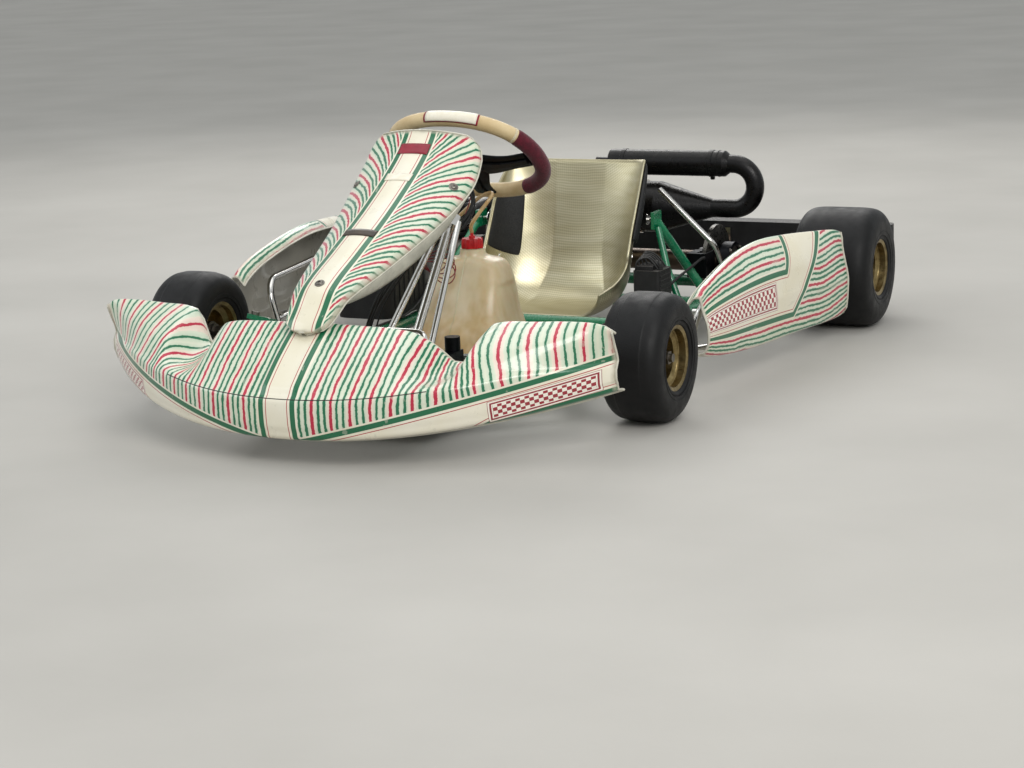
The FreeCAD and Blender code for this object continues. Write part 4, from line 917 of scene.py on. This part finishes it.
def seat():
    """The moulded fibre seat, its rolled lip and the black pads on its wings."""
    side_steps, centre_steps = 60, 16
    wing = [SEAT_CENTRE + (1 - SEAT_CENTRE) * (k + 1) / side_steps for k in range(side_steps)]
    middle = [SEAT_CENTRE * (2 * k / centre_steps - 1) for k in range(centre_steps + 1)]
    places = [-place for place in reversed(wing)] + middle + wing
    rows = [[seat_point(i / SEAT_STEPS, place) for place in places] for i in range(SEAT_STEPS + 1)]
    cloth = Shape().grid(rows, values={"threads": seat_threads(rows)})
    cloth.finish("seat_shell", "seat_weave", ["seat"], thickness=-3.8 * MM)
    Shape().loop(border(rows, 3), 3.0 * MM).finish("seat_lip", "seat_weave")
    pads = Shape().grid(pad(44, 71, 1.0, 0.80, 0.0052, -1)).grid(pad(38, 61, -0.99, -0.60, 0.001, 1))
    pads.finish("seat_side_pads", "black_plastic", look=PAD, thickness=-1.5 * MM)
    bolts = Shape()
    for place in ((0.52, 0.80), (0.62, 0.80), (0.50, -0.80), (0.84, 0.86)):
        spot, normal = seat_point(*place), seat_normal(*place)
        bolts.lathe_mm([(0, 15), (1.4, 15), (1.8, 6)], spot, normal, 28)
        bolts.button(spot + normal * 1.5 * MM, normal)
    bolts.finish("seat_bolts", "bright_plating")


# Each row: height, then place along the kart, half width, half length and how round the section is.
TANK_LINE = [(0.0530, -0.103, 0.114, 0.118, 0.34), (0.060, -0.103, 0.1185, 0.1225, 0.30),
             (0.100, -0.092, 0.1135, 0.110, 0.27), (0.150, -0.075, 0.098, 0.085, 0.28),
             (0.200, -0.064, 0.0885, 0.069, 0.30), (0.234, -0.056, 0.079, 0.057, 0.36),
             (0.252, -0.054, 0.071, 0.050, 0.46), (0.262, -0.054, 0.056, 0.043, 0.70),
             (0.266, -0.056, 0.034, 0.034, 1.0), (0.2836, -0.058, 0.0265, 0.0265, 1.0)]
NECK = Vector((0, -0.058, 0))
WIRE_SEED = 7


def tank():
    """The blow-moulded tank: a soft box that narrows to its neck, with a seam and floor clips."""
    rows = []
    for i in range(61):
        z = TANK_LINE[0][0] + (TANK_LINE[-1][0] - TANK_LINE[0][0]) * i / 60
        y, half_x, half_y, roundness = through(TANK_LINE, z)
        power = 0.30 + 0.70 * roundness
        row = []
        for c, s in ((math.cos(a), math.sin(a)) for a in turns(72)):
            flank = ease(abs(c), 0.80, 0.92) * ease(z, 0.085, 0.095) * (1 - ease(z, 0.205, 0.215))
            pinch = 1 - 0.022 * flank
            row.append(Vector((math.copysign(abs(c) ** power, c) * half_x * pinch,
                               y + math.copysign(abs(s) ** power, s) * half_y * pinch, z)))
        rows.append(row)
    Shape().grid(rows, around=True, caps=True).finish("tank_body", "tank_plastic", ["fuel_tank"])
    seam = Shape()
    for start in (18, 54):
        seam.tube([row[start] for row in rows[1:-4]], 1.2 * MM, 6)
    seam.lathe_mm([(0, 27), (5, 27), (5, 24)], NECK + Z_AXIS * 0.2785, Z_AXIS, 40)
    seam.finish("tank_seam", "tank_plastic")
    clips = Shape()
    for y in (-0.170, -0.030):
        for x in (-0.1225, 0.1160):
            clips.block((x, y - 0.009, 0.052), (x + 0.0065, y + 0.009, 0.076), 1 * MM)
    clips.finish("tank_clips", "black_plastic")


def cap():
    """The red screw cap with eight grip wings and its hose nipple."""
    shape = Shape()
    outline = [Vector((math.cos(a), math.sin(a), 0)) * (0.0205 + 0.0035 * ease(math.cos(8 * a), -0.3, 0.5))
               for a in turns(96)]
    levels = ((0.2842, 1.0), (0.2850, 1.02), (0.3000, 1.0), (0.3045, 0.96), (0.3058, 0.85), (0.3060, 0.3))
    rings = [[NECK + point * scale + Z_AXIS * z for point in outline] for z, scale in levels]
    shape.grid(rings, around=True, caps=True)
    shape.lathe_mm([(0, 7), (6, 6.5), (7, 4), (16, 3.6)], NECK + Z_AXIS * 0.3055, Z_AXIS, caps=True)
    shape.finish("tank_cap", "red_plastic", ["fuel_cap"])


def hoses():
    """Fuel, brake and throttle lines, the loose wiring and the red wire loops behind the panel."""
    amber = Shape()
    amber.hose([(0, -58, 318), (2, -62, 335), (20, -56, 362), (36, -45, 385), (39, -30, 398), (26, -17, 399),
                (-4, -4, 387), (-60, 30, 350), (-130, 85, 304), (-214, 190, 262), (-250, 290, 246),
                (-262, 360, 243), (-278, 383, 243), (-301, 385, 243)], 4.2, 14)
    amber.hose([(-110, -262, 62), (-40, -256, 60), (50, -256, 60), (122, -238, 62), (140, -190, 62),
                (132, -130, 60)], 4.2, 12)
    amber.finish("fuel_hose", "hose_rubber", ["hoses_and_cable"], look=AMBER_HOSE)
    lines = Shape()
    lines.hose([(126, -410, 126), (140, -380, 110), (186, -300, 100), (238, -120, 98), (246, 100, 98),
                (262, 300, 110), (286, 480, 150), (300, 560, 170), (292, 590, 160)], 3.2, 12)
    lines.hose([(-80, -500, 120), (-100, -440, 96), (-190, -300, 104), (-238, -100, 100), (-246, 120, 106),
                (-270, 280, 180), (-300, 360, 290), (-318, 395, 300), (-328, 392, 272)], 2.6, 12)
    rng = random.Random(WIRE_SEED)
    for _ in range(8):
        shift = Vector([rng.uniform(-11, 11) for _ in range(3)])
        stops = ((10, -90, 430), (30, -100, 395), (20, -130, 350), (-30, -160, 320), (-90, -190, 270),
                 (-150, -200, 190), (-190, -190, 110))
        lines.hose([Vector(stop) + shift * (0.4 + 0.25 * i) for i, stop in enumerate(stops)], 1.9)
    lines.finish("black_lines", "hose_rubber")
    loops = Shape()
    for k in range(4):
        centre = Vector((-0.040 + 0.006 * k, -0.150 - 0.008 * k, 0.268 - 0.005 * k))
        roll = Matrix.Rotation(math.radians(24 * k - 30), 3, "Y")
        yaw = Matrix.Rotation(math.radians(10 * k), 3, "Z")
        bent = in_mm(*[(36 * math.cos(a), 12 * math.sin(2 * a), 21 * math.sin(a)) for a in turns(40)])
        loops.loop([centre + roll @ yaw @ point for point in bent], 1.3 * MM)
    loops.hose([(-14, -150, 284), (6, -135, 330), (20, -100, 395), (14, -80, 430)], 1.3)
    loops.finish("red_wire_loops", "hose_rubber", look=WIRE_RED)


# ---------------------------------------------------------------- steering wheel
COLUMN_TILT = math.radians(50)
COLUMN_UP = Vector((0, math.cos(COLUMN_TILT), math.sin(COLUMN_TILT)))
COLUMN_FRONT = Vector((0, -math.sin(COLUMN_TILT), math.cos(COLUMN_TILT)))
WHEEL_MIDDLE = Vector((0, -0.054, 0.480))
RIM_TUBE = 16.2 * MM
RIM_STEPS, STITCHES = 180, 170
WHEEL = "steering_wheel"


def on_wheel(across, forward, up=0.0):
    """A place in the wheel's own plane: forward is its upper part."""
    return WHEEL_MIDDLE + X_AXIS * across + COLUMN_FRONT * forward + COLUMN_UP * up


def wheel_line(angle):
    """The rim's middle line: angle 0 is the kart's left and 90 degrees is the top."""
    across, forward = (math.copysign(abs(part) ** 0.90, part) for part in (math.cos(angle), math.sin(angle)))
    return on_wheel(0.165 * across, (0.150 if forward > 0 else 0.130) * forward)


def wheel_section(angle, radius, low=0.0, high=math.tau, sides=24):
    """Points round the rim's section at an angle; 0 faces outward and 90 degrees faces the driver."""
    ahead = (wheel_line(angle + 0.02) - wheel_line(angle - 0.02)).normalized()
    outward = COLUMN_UP.cross(ahead).normalized()
    return [wheel_line(angle) + (outward * math.cos(a) + COLUMN_UP * math.sin(a)) * radius
            for a in (low + (high - low) * k / sides for k in range(sides))]


def wheel_rim():
    """The rim in cream leather with suede grips at the sides."""
    rows = [wheel_section(math.tau * i / RIM_STEPS, RIM_TUBE) for i in range(RIM_STEPS + 1)]
    Shape().grid(rows, around=True).finish("wheel_rim_leather", "wheel_leather", ["steering_rim"], WHEEL)
    grips = Shape()
    for centre in (-12, 192):
        rows = []
        for share in (-1 + 2 * i / 56 for i in range(57)):
            fullness = -0.6 * MM + 2.1 * MM * (1 - ease(abs(share), 0.92, 1.0))
            rows.append(wheel_section(math.radians(centre + share * 46), RIM_TUBE + fullness))
        grips.grid(rows, around=True)
    grips.finish("wheel_grips_suede", "wheel_leather", (), WHEEL, RED_SUEDE)


def wheel_trim():
    """A stitched seam round the rim, a thread band beside each grip and a name plate with no name."""
    stitches = Shape()
    radius, start, end = RIM_TUBE + 1.5 * MM, math.radians(142), math.radians(178)
    for angle in turns(STITCHES):
        here, later = (wheel_section(angle + step, radius, start, end, 3) for step in (0, math.radians(1.2)))
        stitches.tube([here[0], (here[1] + later[1]) / 2, later[2]], 0.6 * MM, 6)
    for centre in (35, 145):
        stitches.grid([wheel_section(math.radians(centre + offset), RIM_TUBE + 0.8 * MM)
                       for offset in (-1.0, -0.5, 0.5, 1.0)], around=True)
    stitches.finish("wheel_stitching", "wheel_leather", (), WHEEL, THREAD)
    for name, lift, spread, arc, look in (("wheel_plate_frame", 0.6, 18.5, 64, PLATE_WINE),
                                          ("wheel_plate", 1.0, 17.2, 56, PLATE_WHITE)):
        patch = [wheel_section(math.radians(83 + offset * spread / 9), RIM_TUBE + lift * MM,
                               math.radians(8 - arc), math.radians(8 + arc), 12) for offset in range(-9, 10)]
        Shape().grid(patch).finish(name, "wheel_leather", (), WHEEL, look, -0.4 * MM)


def spoke_plate():
    """The dark spoke plate: a boss with three tapering, ribbed arms."""
    shape = Shape()
    section = [(-1, 0.25), (-0.85, 0), (0.85, 0), (1, 0.25), (1, 0.75), (0.85, 1), (-0.85, 1), (-1, 0.75)]
    for end in ((0.151, 0.021, 0), (-0.151, 0.021, 0), (0.0, -0.116, 0)):
        length, along = Vector(end).length, Vector(end).normalized()
        beside = Vector((-along.y, along.x, 0))
        for lift, scale in ((-0.0175, 1.0), (-0.0225, 0.30)):
            rows = []
            for part in (i / 24 for i in range(25)):
                place = 0.012 + (length - 0.012) * part
                half = (0.040 - 0.017 * ease(place, 0.02, length * 0.8)) * scale
                bow = -0.006 * math.sin(math.pi * part)
                flats = [(along * place + beside * half * a, 0.006 * b) for a, b in section]
                rows.append([on_wheel(flat.x, flat.y, lift + bow + height) for flat, height in flats])
            shape.grid(rows, around=True, caps=True)
    shape.lathe_mm([(-18.5, 19), (-18.5, 40), (-17.5, 42), (-12.5, 42), (-11.5, 40), (-11.5, 19)],
                   on_wheel(0, 0), COLUMN_UP, 48)
    shape.finish("spoke_plate", "black_alloy", ["steering_spokes"], WHEEL)


def wheel_hub():
    """The dark hub's cover and the screws of the spoke plate."""
    shape = Shape()
    for across, forward in ((0.128, 0.018), (-0.128, 0.018), (0, -0.100)):
        shape.button(on_wheel(across, forward, -0.006), COLUMN_UP, 6 * MM)
    for angle in (a + math.radians(15) for a in turns(6)):
        shape.button(on_wheel(0.029 * math.cos(angle), 0.029 * math.sin(angle), -0.0108), COLUMN_UP, 4 * MM)
    shape.lathe_mm([(-10, 19), (2, 18.5), (4, 16), (4, 4)], on_wheel(0, 0), COLUMN_UP, 40, caps=True)
    shape.finish("hub_bolts", "black_alloy", (), WHEEL)


# ---------------------------------------------------------------- wheels
BEAD = 63.5 * MM
FRONT_DISC_MM, REAR_DISC_MM = -6, -55
REAR_TYRE_HALF = 0.095


def tyre(shape, centre, half, radius):
    """One slick, with its lining and the fine moulded rings on both walls."""
    wall = radius - BEAD
    left = [(-half + 0.014, BEAD + 0.001), (-half + 0.006, BEAD + 0.003), (-half + 0.003, BEAD + 0.008),
            (-half + 0.0035, BEAD + 0.012), (-half + 0.001, BEAD + 0.20 * wall), (-half, BEAD + 0.42 * wall),
            (-half + 0.0015, BEAD + 0.62 * wall), (-half + 0.007, BEAD + 0.80 * wall),
            (-half + 0.018, BEAD + 0.925 * wall), (-half + 0.034, radius - 0.0015),
            (-half * 0.35, radius - 0.0002)]
    outline = [(along, r, 0) for along, r in left] + [(-along, r, 0) for along, r in reversed(left)]
    profile = [(p.x, min(p.y, radius)) for p in spline(outline, 5)]
    shape.lathe(profile, centre, X_AXIS, 128)
    lining = [(along * 0.90, r - 0.006) for along, r in reversed(profile)]
    shape.lathe([profile[-1]] + lining + [profile[0]], centre, X_AXIS, 96)
    for side in (-1, 1):
        for r in (BEAD + 0.010, BEAD + 0.013, BEAD + 0.30 * wall):
            along = min((p for p in profile if p[0] * side > 0), key=lambda p: abs(p[1] - r))[0]
            low, high = along - side * 0.0012, along + side * 0.0007
            shape.lathe([(low, r - 0.0012), (high, r - 0.0005), (high, r + 0.0005), (low, r + 0.0012)],
                        centre, X_AXIS, 96)


def rim(shape, centre, half, disc_mm, side):
    """One spun rim: flanges, a stepped well and a dished disc; side is +1 where outward is +X."""
    flange, bead, well = 71.5, 62.5, 50
    edge = half / MM - 6
    lip = [(edge - 5, bead), (edge - 4, flange - 1.5), (edge - 1.5, flange + 0.6), (edge, flange)]
    outer = ([(-along, radius) for along, radius in reversed(lip)] + [(16 - edge, bead), (22 - edge, well),
             (edge - 24, well), (edge - 16, bead)] + lip)
    inner = [(edge, flange - 2), (edge - 4, bead - 4), (edge - 18, bead - 4), (edge - 26, well - 3),
             (24 - edge, well - 3), (18 - edge, bead - 4), (4 - edge, bead - 4), (-edge, flange - 2),
             (-edge, flange)]
    axis = X_AXIS * side
    shape.lathe_mm(outer + inner, centre, axis, 96)
    for r in (54.5, 57.5):
        shape.lathe_mm([(edge - 21, r), (edge - 19.5, r + 0.8), (edge - 19, r + 2)], centre, axis, 96)
    dish = [(-4, well - 2), (1, well - 5), (2, 30), (3, 24), (3, 13.5), (-3, 13.5), (-3, well - 2)]
    shape.lathe_mm([(disc_mm + along, radius) for along, radius in dish], centre, axis, 72)


def rim_bolts(shape, centre, disc_mm, side):
    """The ring of small bolts round a rim's well, and the valve."""
    axis = X_AXIS * side
    for angle in (a + math.pi / 3 for a in turns(3)):
        spot = axis * (disc_mm + 2) * MM + Vector((0, math.cos(angle), math.sin(angle))) * 0.040
        shape.bolt(centre + spot, axis, 3.5 * MM, 3.5 * MM)
    shape.lathe_mm([(0, 2.6), (9, 2.6), (9, 3.2), (14, 3.2), (14.5, 2)],
                   centre + axis * (disc_mm + 16) * MM + Z_AXIS * 0.043, (side, 0, -0.35), 16, caps=True)


def wheels():
    """Tyres and rims, each on the body that turns it."""
    for side, name in ((1, "left"), (-1, "right")):
        centre, half = room("front_tyre_" + name)
        slick, spun, bolts = Shape(), Shape(), Shape()
        tyre(slick, centre, half.x, half.z)
        rim(spun, centre, half.x, FRONT_DISC_MM, side)
        rim_bolts(bolts, centre, FRONT_DISC_MM, side)
        bolts.lathe_mm([(-34, 16.8), (-34, 22.5), (8, 22.5), (10, 20), (10, 16.8)], centre, X_AXIS * side, 40)
        body = "front_wheel_" + name
        slick.finish("front_slick_" + name, "tyre_rubber", ["front_tyre_" + name], body)
        spun.finish("front_rim_spun_" + name, "rim_gold", ["front_rim_" + name], body)
        bolts.finish("front_rim_bolts_" + name, "steel", (), body)
    centre, half = room("rear_tyres")
    slicks, rims, bolts = Shape(), Shape(), Shape()
    for side in (1, -1):
        place = centre + X_AXIS * (side * (half.x - REAR_TYRE_HALF))
        tyre(slicks, place, REAR_TYRE_HALF, half.z)
        rim(rims, place, REAR_TYRE_HALF, REAR_DISC_MM, side)
        rim_bolts(bolts, place, REAR_DISC_MM, side)
    slicks.finish("rear_slicks", "tyre_rubber", ["rear_tyres"], AXLE)
    rims.finish("rear_rims_spun", "rim_gold", ["rear_rims"], AXLE)
    bolts.finish("rear_rim_bolts", "steel", (), AXLE)


# ---------------------------------------------------------------- driveline
AXLE = "rear_axle_set"
TEETH, TOOTH_DEPTH = 77, 5.2 * MM
CHAIN_PITCH = 7.78 * MM
LINK_END, LINK_THICKNESS, PIN_HALF = 2.9 * MM, 0.6 * MM, 2.9 * MM
DRIVE_RADIUS, DRIVEN_RADIUS = 0.0235, 0.1005


def pierced_disc(centre, half_thick, outline, inner, holes, segments=360):
    """A flat ring about the X axis. The outline gives the outer radius at an angle, and each row of holes is
    (radius of the row, radius of a hole, count)."""
    def edge(x, radius_at):
        return [centre + Vector((x, math.cos(a) * radius_at(a), math.sin(a) * radius_at(a)))
                for a in turns(segments)]

    shape = Shape()
    for face in (-1, 1):
        rows = [edge(face * half_thick, lambda a: inner + (outline(a) - inner) * share)
                for share in (i / 14 for i in range(15))]
        shape.grid(rows[::-face], around=True)
    for order, radius_at in ((1, outline), (-1, lambda a: inner)):
        rows = [edge(half_thick, radius_at), edge(-half_thick, radius_at)]
        shape.grid(rows[::order], around=True)
    top, floor = half_thick + 0.0002, half_thick - 0.001
    for ring_radius, size, count in holes:
        for spot in ring(centre, Y_AXIS, Z_AXIS, ring_radius, count):
            for face in (-1, 1):
                shape.lathe([(top, size), (top, size * 0.75), (floor, size * 0.7), (floor, 0.0002)],
                            spot, X_AXIS * face, 16)
    return shape


def sprocket():
    """The rear sprocket with its teeth and lightening rings."""
    centre, half = room("sprocket")

    def outline(angle):
        wave = 0.5 + 0.5 * math.cos(TEETH * angle)
        return half.z - TOOTH_DEPTH * (1 - ease(wave, 0.15, 0.85))

    shape = pierced_disc(centre, half.x * 0.75, outline, 0.047, [(0.060, 0.006, 12), (0.077, 0.007, 12)],
                         12 * TEETH)
    shape.finish("sprocket_toothed", "machined_alloy", ["sprocket"], AXLE)


def brake_disc():
    """The brake disc with its rings of cooling drillings."""
    centre, half = room("brake_disc")
    drillings = [(0.083, 0.003, 24), (0.073, 0.0035, 24), (0.063, 0.003, 24)]
    shape = pierced_disc(centre, half.x * 0.97, lambda a: half.z, 0.044, drillings)
    shape.finish("brake_disc_drilled", "disc_iron", ["brake_disc"], AXLE)


def chain_pins():
    """The places of the chain's pins, round the drive sprocket and the rear sprocket."""
    x = room("chain")[0].x
    start, end = (Vector((x, *room(node)[0].yz)) for node in ("crankshaft", "sprocket"))
    span = end - start
    tilt = math.atan2(span.z, span.y)
    spread = math.acos((DRIVE_RADIUS - DRIVEN_RADIUS) / span.length)
    line = [(start, DRIVE_RADIUS, tilt + spread + (math.tau - 2 * spread) * k / 24) for k in range(25)]
    line += [(end, DRIVEN_RADIUS, tilt - spread + 2 * spread * k / 60) for k in range(61)]
    line = [centre + Vector((0, math.cos(angle), math.sin(angle))) * radius for centre, radius, angle in line]
    lengths = [0.0]
    for a, b in zip(line, line[1:] + line[:1]):
        lengths.append(lengths[-1] + (b - a).length)
    count = 2 * round(lengths[-1] / CHAIN_PITCH / 2)
    pins, index = [], 0
    for want in (lengths[-1] * k / count for k in range(count)):
        while lengths[index + 1] < want:
            index += 1
        share = (want - lengths[index]) / (lengths[index + 1] - lengths[index])
        pins.append(line[index].lerp(line[(index + 1) % len(line)], share))
    return pins


def chain():
    """The drive chain: outer and inner links on rollers, laid round both sprockets."""
    shape = Shape()
    pins = chain_pins()
    for k, (pin, following) in enumerate(zip(pins, pins[1:] + pins[:1])):
        shape.tube([pin - X_AXIS * PIN_HALF, pin + X_AXIS * PIN_HALF], 1.5 * MM)
        along = (following - pin).normalized()
        up = X_AXIS.cross(along)
        offset = (2.4 if k % 2 else 1.7) * MM
        outline = []
        for centre, sign in ((pin, -1), (following, 1)):
            for turn in (math.radians(angle) for angle in (-90, -45, 0, 45, 90)):
                outline.append(centre + (along * math.cos(turn) + up * math.sin(turn)) * sign * LINK_END)
        for face in (-1, 1):
            rows = [[point + X_AXIS * face * side for point in outline]
                    for side in (offset, offset + LINK_THICKNESS)]
            shape.grid(rows, around=True, caps=True)
    shape.finish("drive_chain", "steel", ["chain"])


# ---------------------------------------------------------------- engine and exhaust
def engine_bolts():
    """The bolts of the crankcase, the cylinder head and the bearing carriers."""
    bolts = Shape()
    low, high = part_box("crankcase")
    for y in (low.y + 0.016, (low.y + high.y) / 2, high.y - 0.016):
        for z in (low.z + 0.016, high.z - 0.020):
            for x, side in ((high.x - 0.0005, 1), (low.x + 0.0005, -1)):
                bolts.bolt((x, y, z), X_AXIS * side, 4 * MM, 4 * MM)
    centre, half = room("cylinder_head")
    top = centre + Z_AXIS * (half.z - 0.002)
    for k in range(4):
        angle = math.radians(45 + 90 * k)
        spot = Vector((math.cos(angle), math.sin(angle), 0)) * 0.038
        bolts.bolt(top + spot, Z_AXIS, 5 * MM, 5 * MM)
    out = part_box("bearing_carriers")[1].x - 0.0006
    for side in (1, -1):
        for dy, dz in ((0.032, 0.032), (-0.032, 0.032), (0.032, -0.032), (-0.032, -0.032)):
            bolts.bolt((side * out, 0.695 + dy, 0.140 + dz), X_AXIS * side, 3.6 * MM, 3.4 * MM)
    bolts.finish("engine_bolts", "steel")


def return_springs():
    """The springs that hold the exhaust together and pull the pedals back."""
    springs = Shape()
    for y in (0.655, 0.668):
        span = Vector((-0.050, -0.010, 0.002))
        side = span.orthogonal().normalized()
        other = span.normalized().cross(side)
        springs.coil(Vector((-0.252, y, 0.300)), span, side, other, 4.2 * MM, 9, 90)
    for x in (0.060, -0.060):
        start, span = Vector((x, -0.500, 0.075)), Vector((0, -0.085, -0.003))
        springs.coil(start, span, X_AXIS, Z_AXIS, 4.8 * MM, 14, 120)
    springs.finish("return_springs", "steel")


def exhaust_bands():
    """Two clamps round the silencer and the ring of rivets at its end."""
    bands = Shape()
    centre, half = room("exhaust_silencer")
    radius = half.z
    for x in (0.060, 0.285):
        bands.lathe([(-0.006, radius + 0.0002), (-0.005, radius + 0.0016), (0.005, radius + 0.0016),
                     (0.006, radius + 0.0002)], (x, centre.y, centre.z), X_AXIS, 48)
        bands.block((x - 0.005, centre.y - 0.004, centre.z - radius - 0.008),
                    (x + 0.005, centre.y + 0.004, centre.z - radius), 1.5 * MM)
    rivets_at = Vector((0.304, centre.y, centre.z))
    for out in ring(Vector(), Y_AXIS, Z_AXIS, 1.0, 40):
        bands.lathe_mm([(0, 1.8), (0.8, 1.4), (1.1, 0.3)], rivets_at + out * radius, out, 6)
    bands.finish("exhaust_bands", "exhaust_black")


def box_ribs():
    """Ribs on the airbox; ribs, fins, posts and cable arcs on the finned black box."""
    ribs = Shape()
    low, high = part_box("airbox")
    for y in (low.y + 0.030 + k * 0.024 for k in range(7)):
        for x in (high.x + 0.0005, low.x - 0.0005):
            ribs.tube([(x, y, low.z + 0.020), (x, y, high.z - 0.020)], 2 * MM)
    low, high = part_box("battery")
    for z in (low.z + 0.012 + k * 0.011 for k in range(6)):
        ribs.tube([(high.x, low.y + 0.006, z), (high.x, high.y - 0.006, z)], 1.6 * MM, 6)
    for y in (low.y + 0.010 + k * 0.013 for k in range(5)):
        ribs.block((low.x + 0.006, y, high.z - 0.002), (high.x - 0.020, y + 0.005, high.z + 0.010), 1 * MM)
    for offset in (0.012, 0.026):
        spot = (high.x - offset + 0.004, low.y + 0.016 + offset, high.z - 0.001)
        ribs.lathe_mm([(0, 6), (10, 6), (10, 4.5), (18, 4.5), (20, 3)], spot, Z_AXIS, 20, caps=True)
    for k in range(5):
        y = low.y + 0.004 + 0.012 * k
        arc = [(low.x + 0.006 + 0.010 * k, y, high.z - 0.010), (low.x + 0.012, y, high.z + 0.022 + 0.003 * k),
               (low.x + 0.034, y + 0.016, high.z + 0.026), (high.x - 0.004, y + 0.022, high.z - 0.012)]
        ribs.tube(spline(arc), 2.4 * MM)
    ribs.finish("box_ribs", "black_plastic")


# ---------------------------------------------------------------- stage
CAMERA_PLACE = Vector((2.210, -4.4995, 1.070))
CAMERA_AZIMUTH, CAMERA_ELEVATION, CAMERA_ROLL = 25.59, 12.43, -2.19
CAMERA_LENS_MM = 80.9
WORLD_STRENGTH = 1.05
# Each row: name, place, target, size, power and colour.
LIGHTS = [("window_key", (3.6, -3.4, 3.6), (0, 0, 0.3), (3.4, 2.4), 150, (1.0, 0.985, 0.96)),
          ("sky_fill", (-3.8, -2.6, 3.0), (0, 0, 0.3), (3.0, 3.0), 50, (0.93, 0.97, 1.0)),
          ("top_soft", (0, 0.6, 4.4), (0, 0, 0.2), (4.5, 4.5), 60, (1.0, 1.0, 1.0)),
          ("back_rim", (-1.5, 3.8, 2.8), (0, 0.3, 0.4), (3.0, 1.6), 60, (1.0, 0.98, 0.95))]


def camera():
    """The camera at the reference viewing angle."""
    a, e, r = (math.radians(angle) for angle in (CAMERA_AZIMUTH, CAMERA_ELEVATION, CAMERA_ROLL))
    back = Vector((math.sin(a) * math.cos(e), -math.cos(a) * math.cos(e), math.sin(e)))
    right = Vector((math.cos(a), math.sin(a), 0))
    up = back.cross(right)
    axes = Matrix((right * math.cos(r) + up * math.sin(r), up * math.cos(r) - right * math.sin(r), back))
    data = bpy.data.cameras.new("photo_view")
    data.lens = CAMERA_LENS_MM
    data.sensor_width = 36
    data.clip_end = 60
    view = bpy.data.objects.new("photo_view", data)
    view.matrix_world = Matrix.Translation(CAMERA_PLACE) @ axes.transposed().to_4x4()
    bpy.context.scene.collection.objects.link(view)
    bpy.context.scene.camera = view


def light(name, place, target, size, power, colour):
    """One rectangular area light that faces its target."""
    data = bpy.data.lights.new(name, "AREA")
    data.shape = "RECTANGLE"
    data.size, data.size_y = size
    data.energy = power
    data.color = colour
    lamp = bpy.data.objects.new(name, data)
    lamp.location = place
    lamp.rotation_euler = (Vector(target) - Vector(place)).to_track_quat("-Z", "Y").to_euler()
    bpy.context.scene.collection.objects.link(lamp)


def floor():
    """A wide pale floor."""
    finish = Finish("floor_pale")
    drift = finish.noise(1.6, 5.0).ramp(0.3, 0.7)
    finish.set(base_color=finish.mix(drift, "aaa7a1", "b4b1ab"), roughness=0.75)
    finish.bump(finish.noise(60, 4.0), 0.001, 0.3)
    shape = Shape().grid([ring(Vector(), X_AXIS, Y_AXIS, radius, 48) for radius in (0.02, 1.5, 6.0, 26.0)],
                         around=True)
    mesh = bpy.data.meshes.new("floor")
    mesh.from_pydata([tuple(p) for p in shape.points], [], shape.faces)
    mesh.materials.append(finish.material)
    plane = bpy.data.objects.new("floor", mesh)
    bpy.context.scene.collection.objects.link(plane)


def daylight():
    """Four soft lights and a pale sky."""
    for row in LIGHTS:
        light(*row)
    world = bpy.data.worlds.new("studio")
    world.use_nodes = True
    background = world.node_tree.nodes["Background"].inputs
    background["Color"].default_value = tone("c9cccd")
    background["Strength"].default_value = WORLD_STRENGTH
    bpy.context.scene.world = world
    bpy.context.scene.view_settings.view_transform = "Standard"


# ---------------------------------------------------------------- build
dress_cad_nodes()
front_fairing()
front_panel()
side_pod(1, "left")
side_pod(-1, "right")
for build in (seat, tank, cap, hoses, wheel_rim, wheel_trim, spoke_plate, wheel_hub, wheels,
              sprocket, brake_disc, chain, engine_bolts, return_springs, exhaust_bands, box_ribs,
              floor, daylight, camera):
    build()
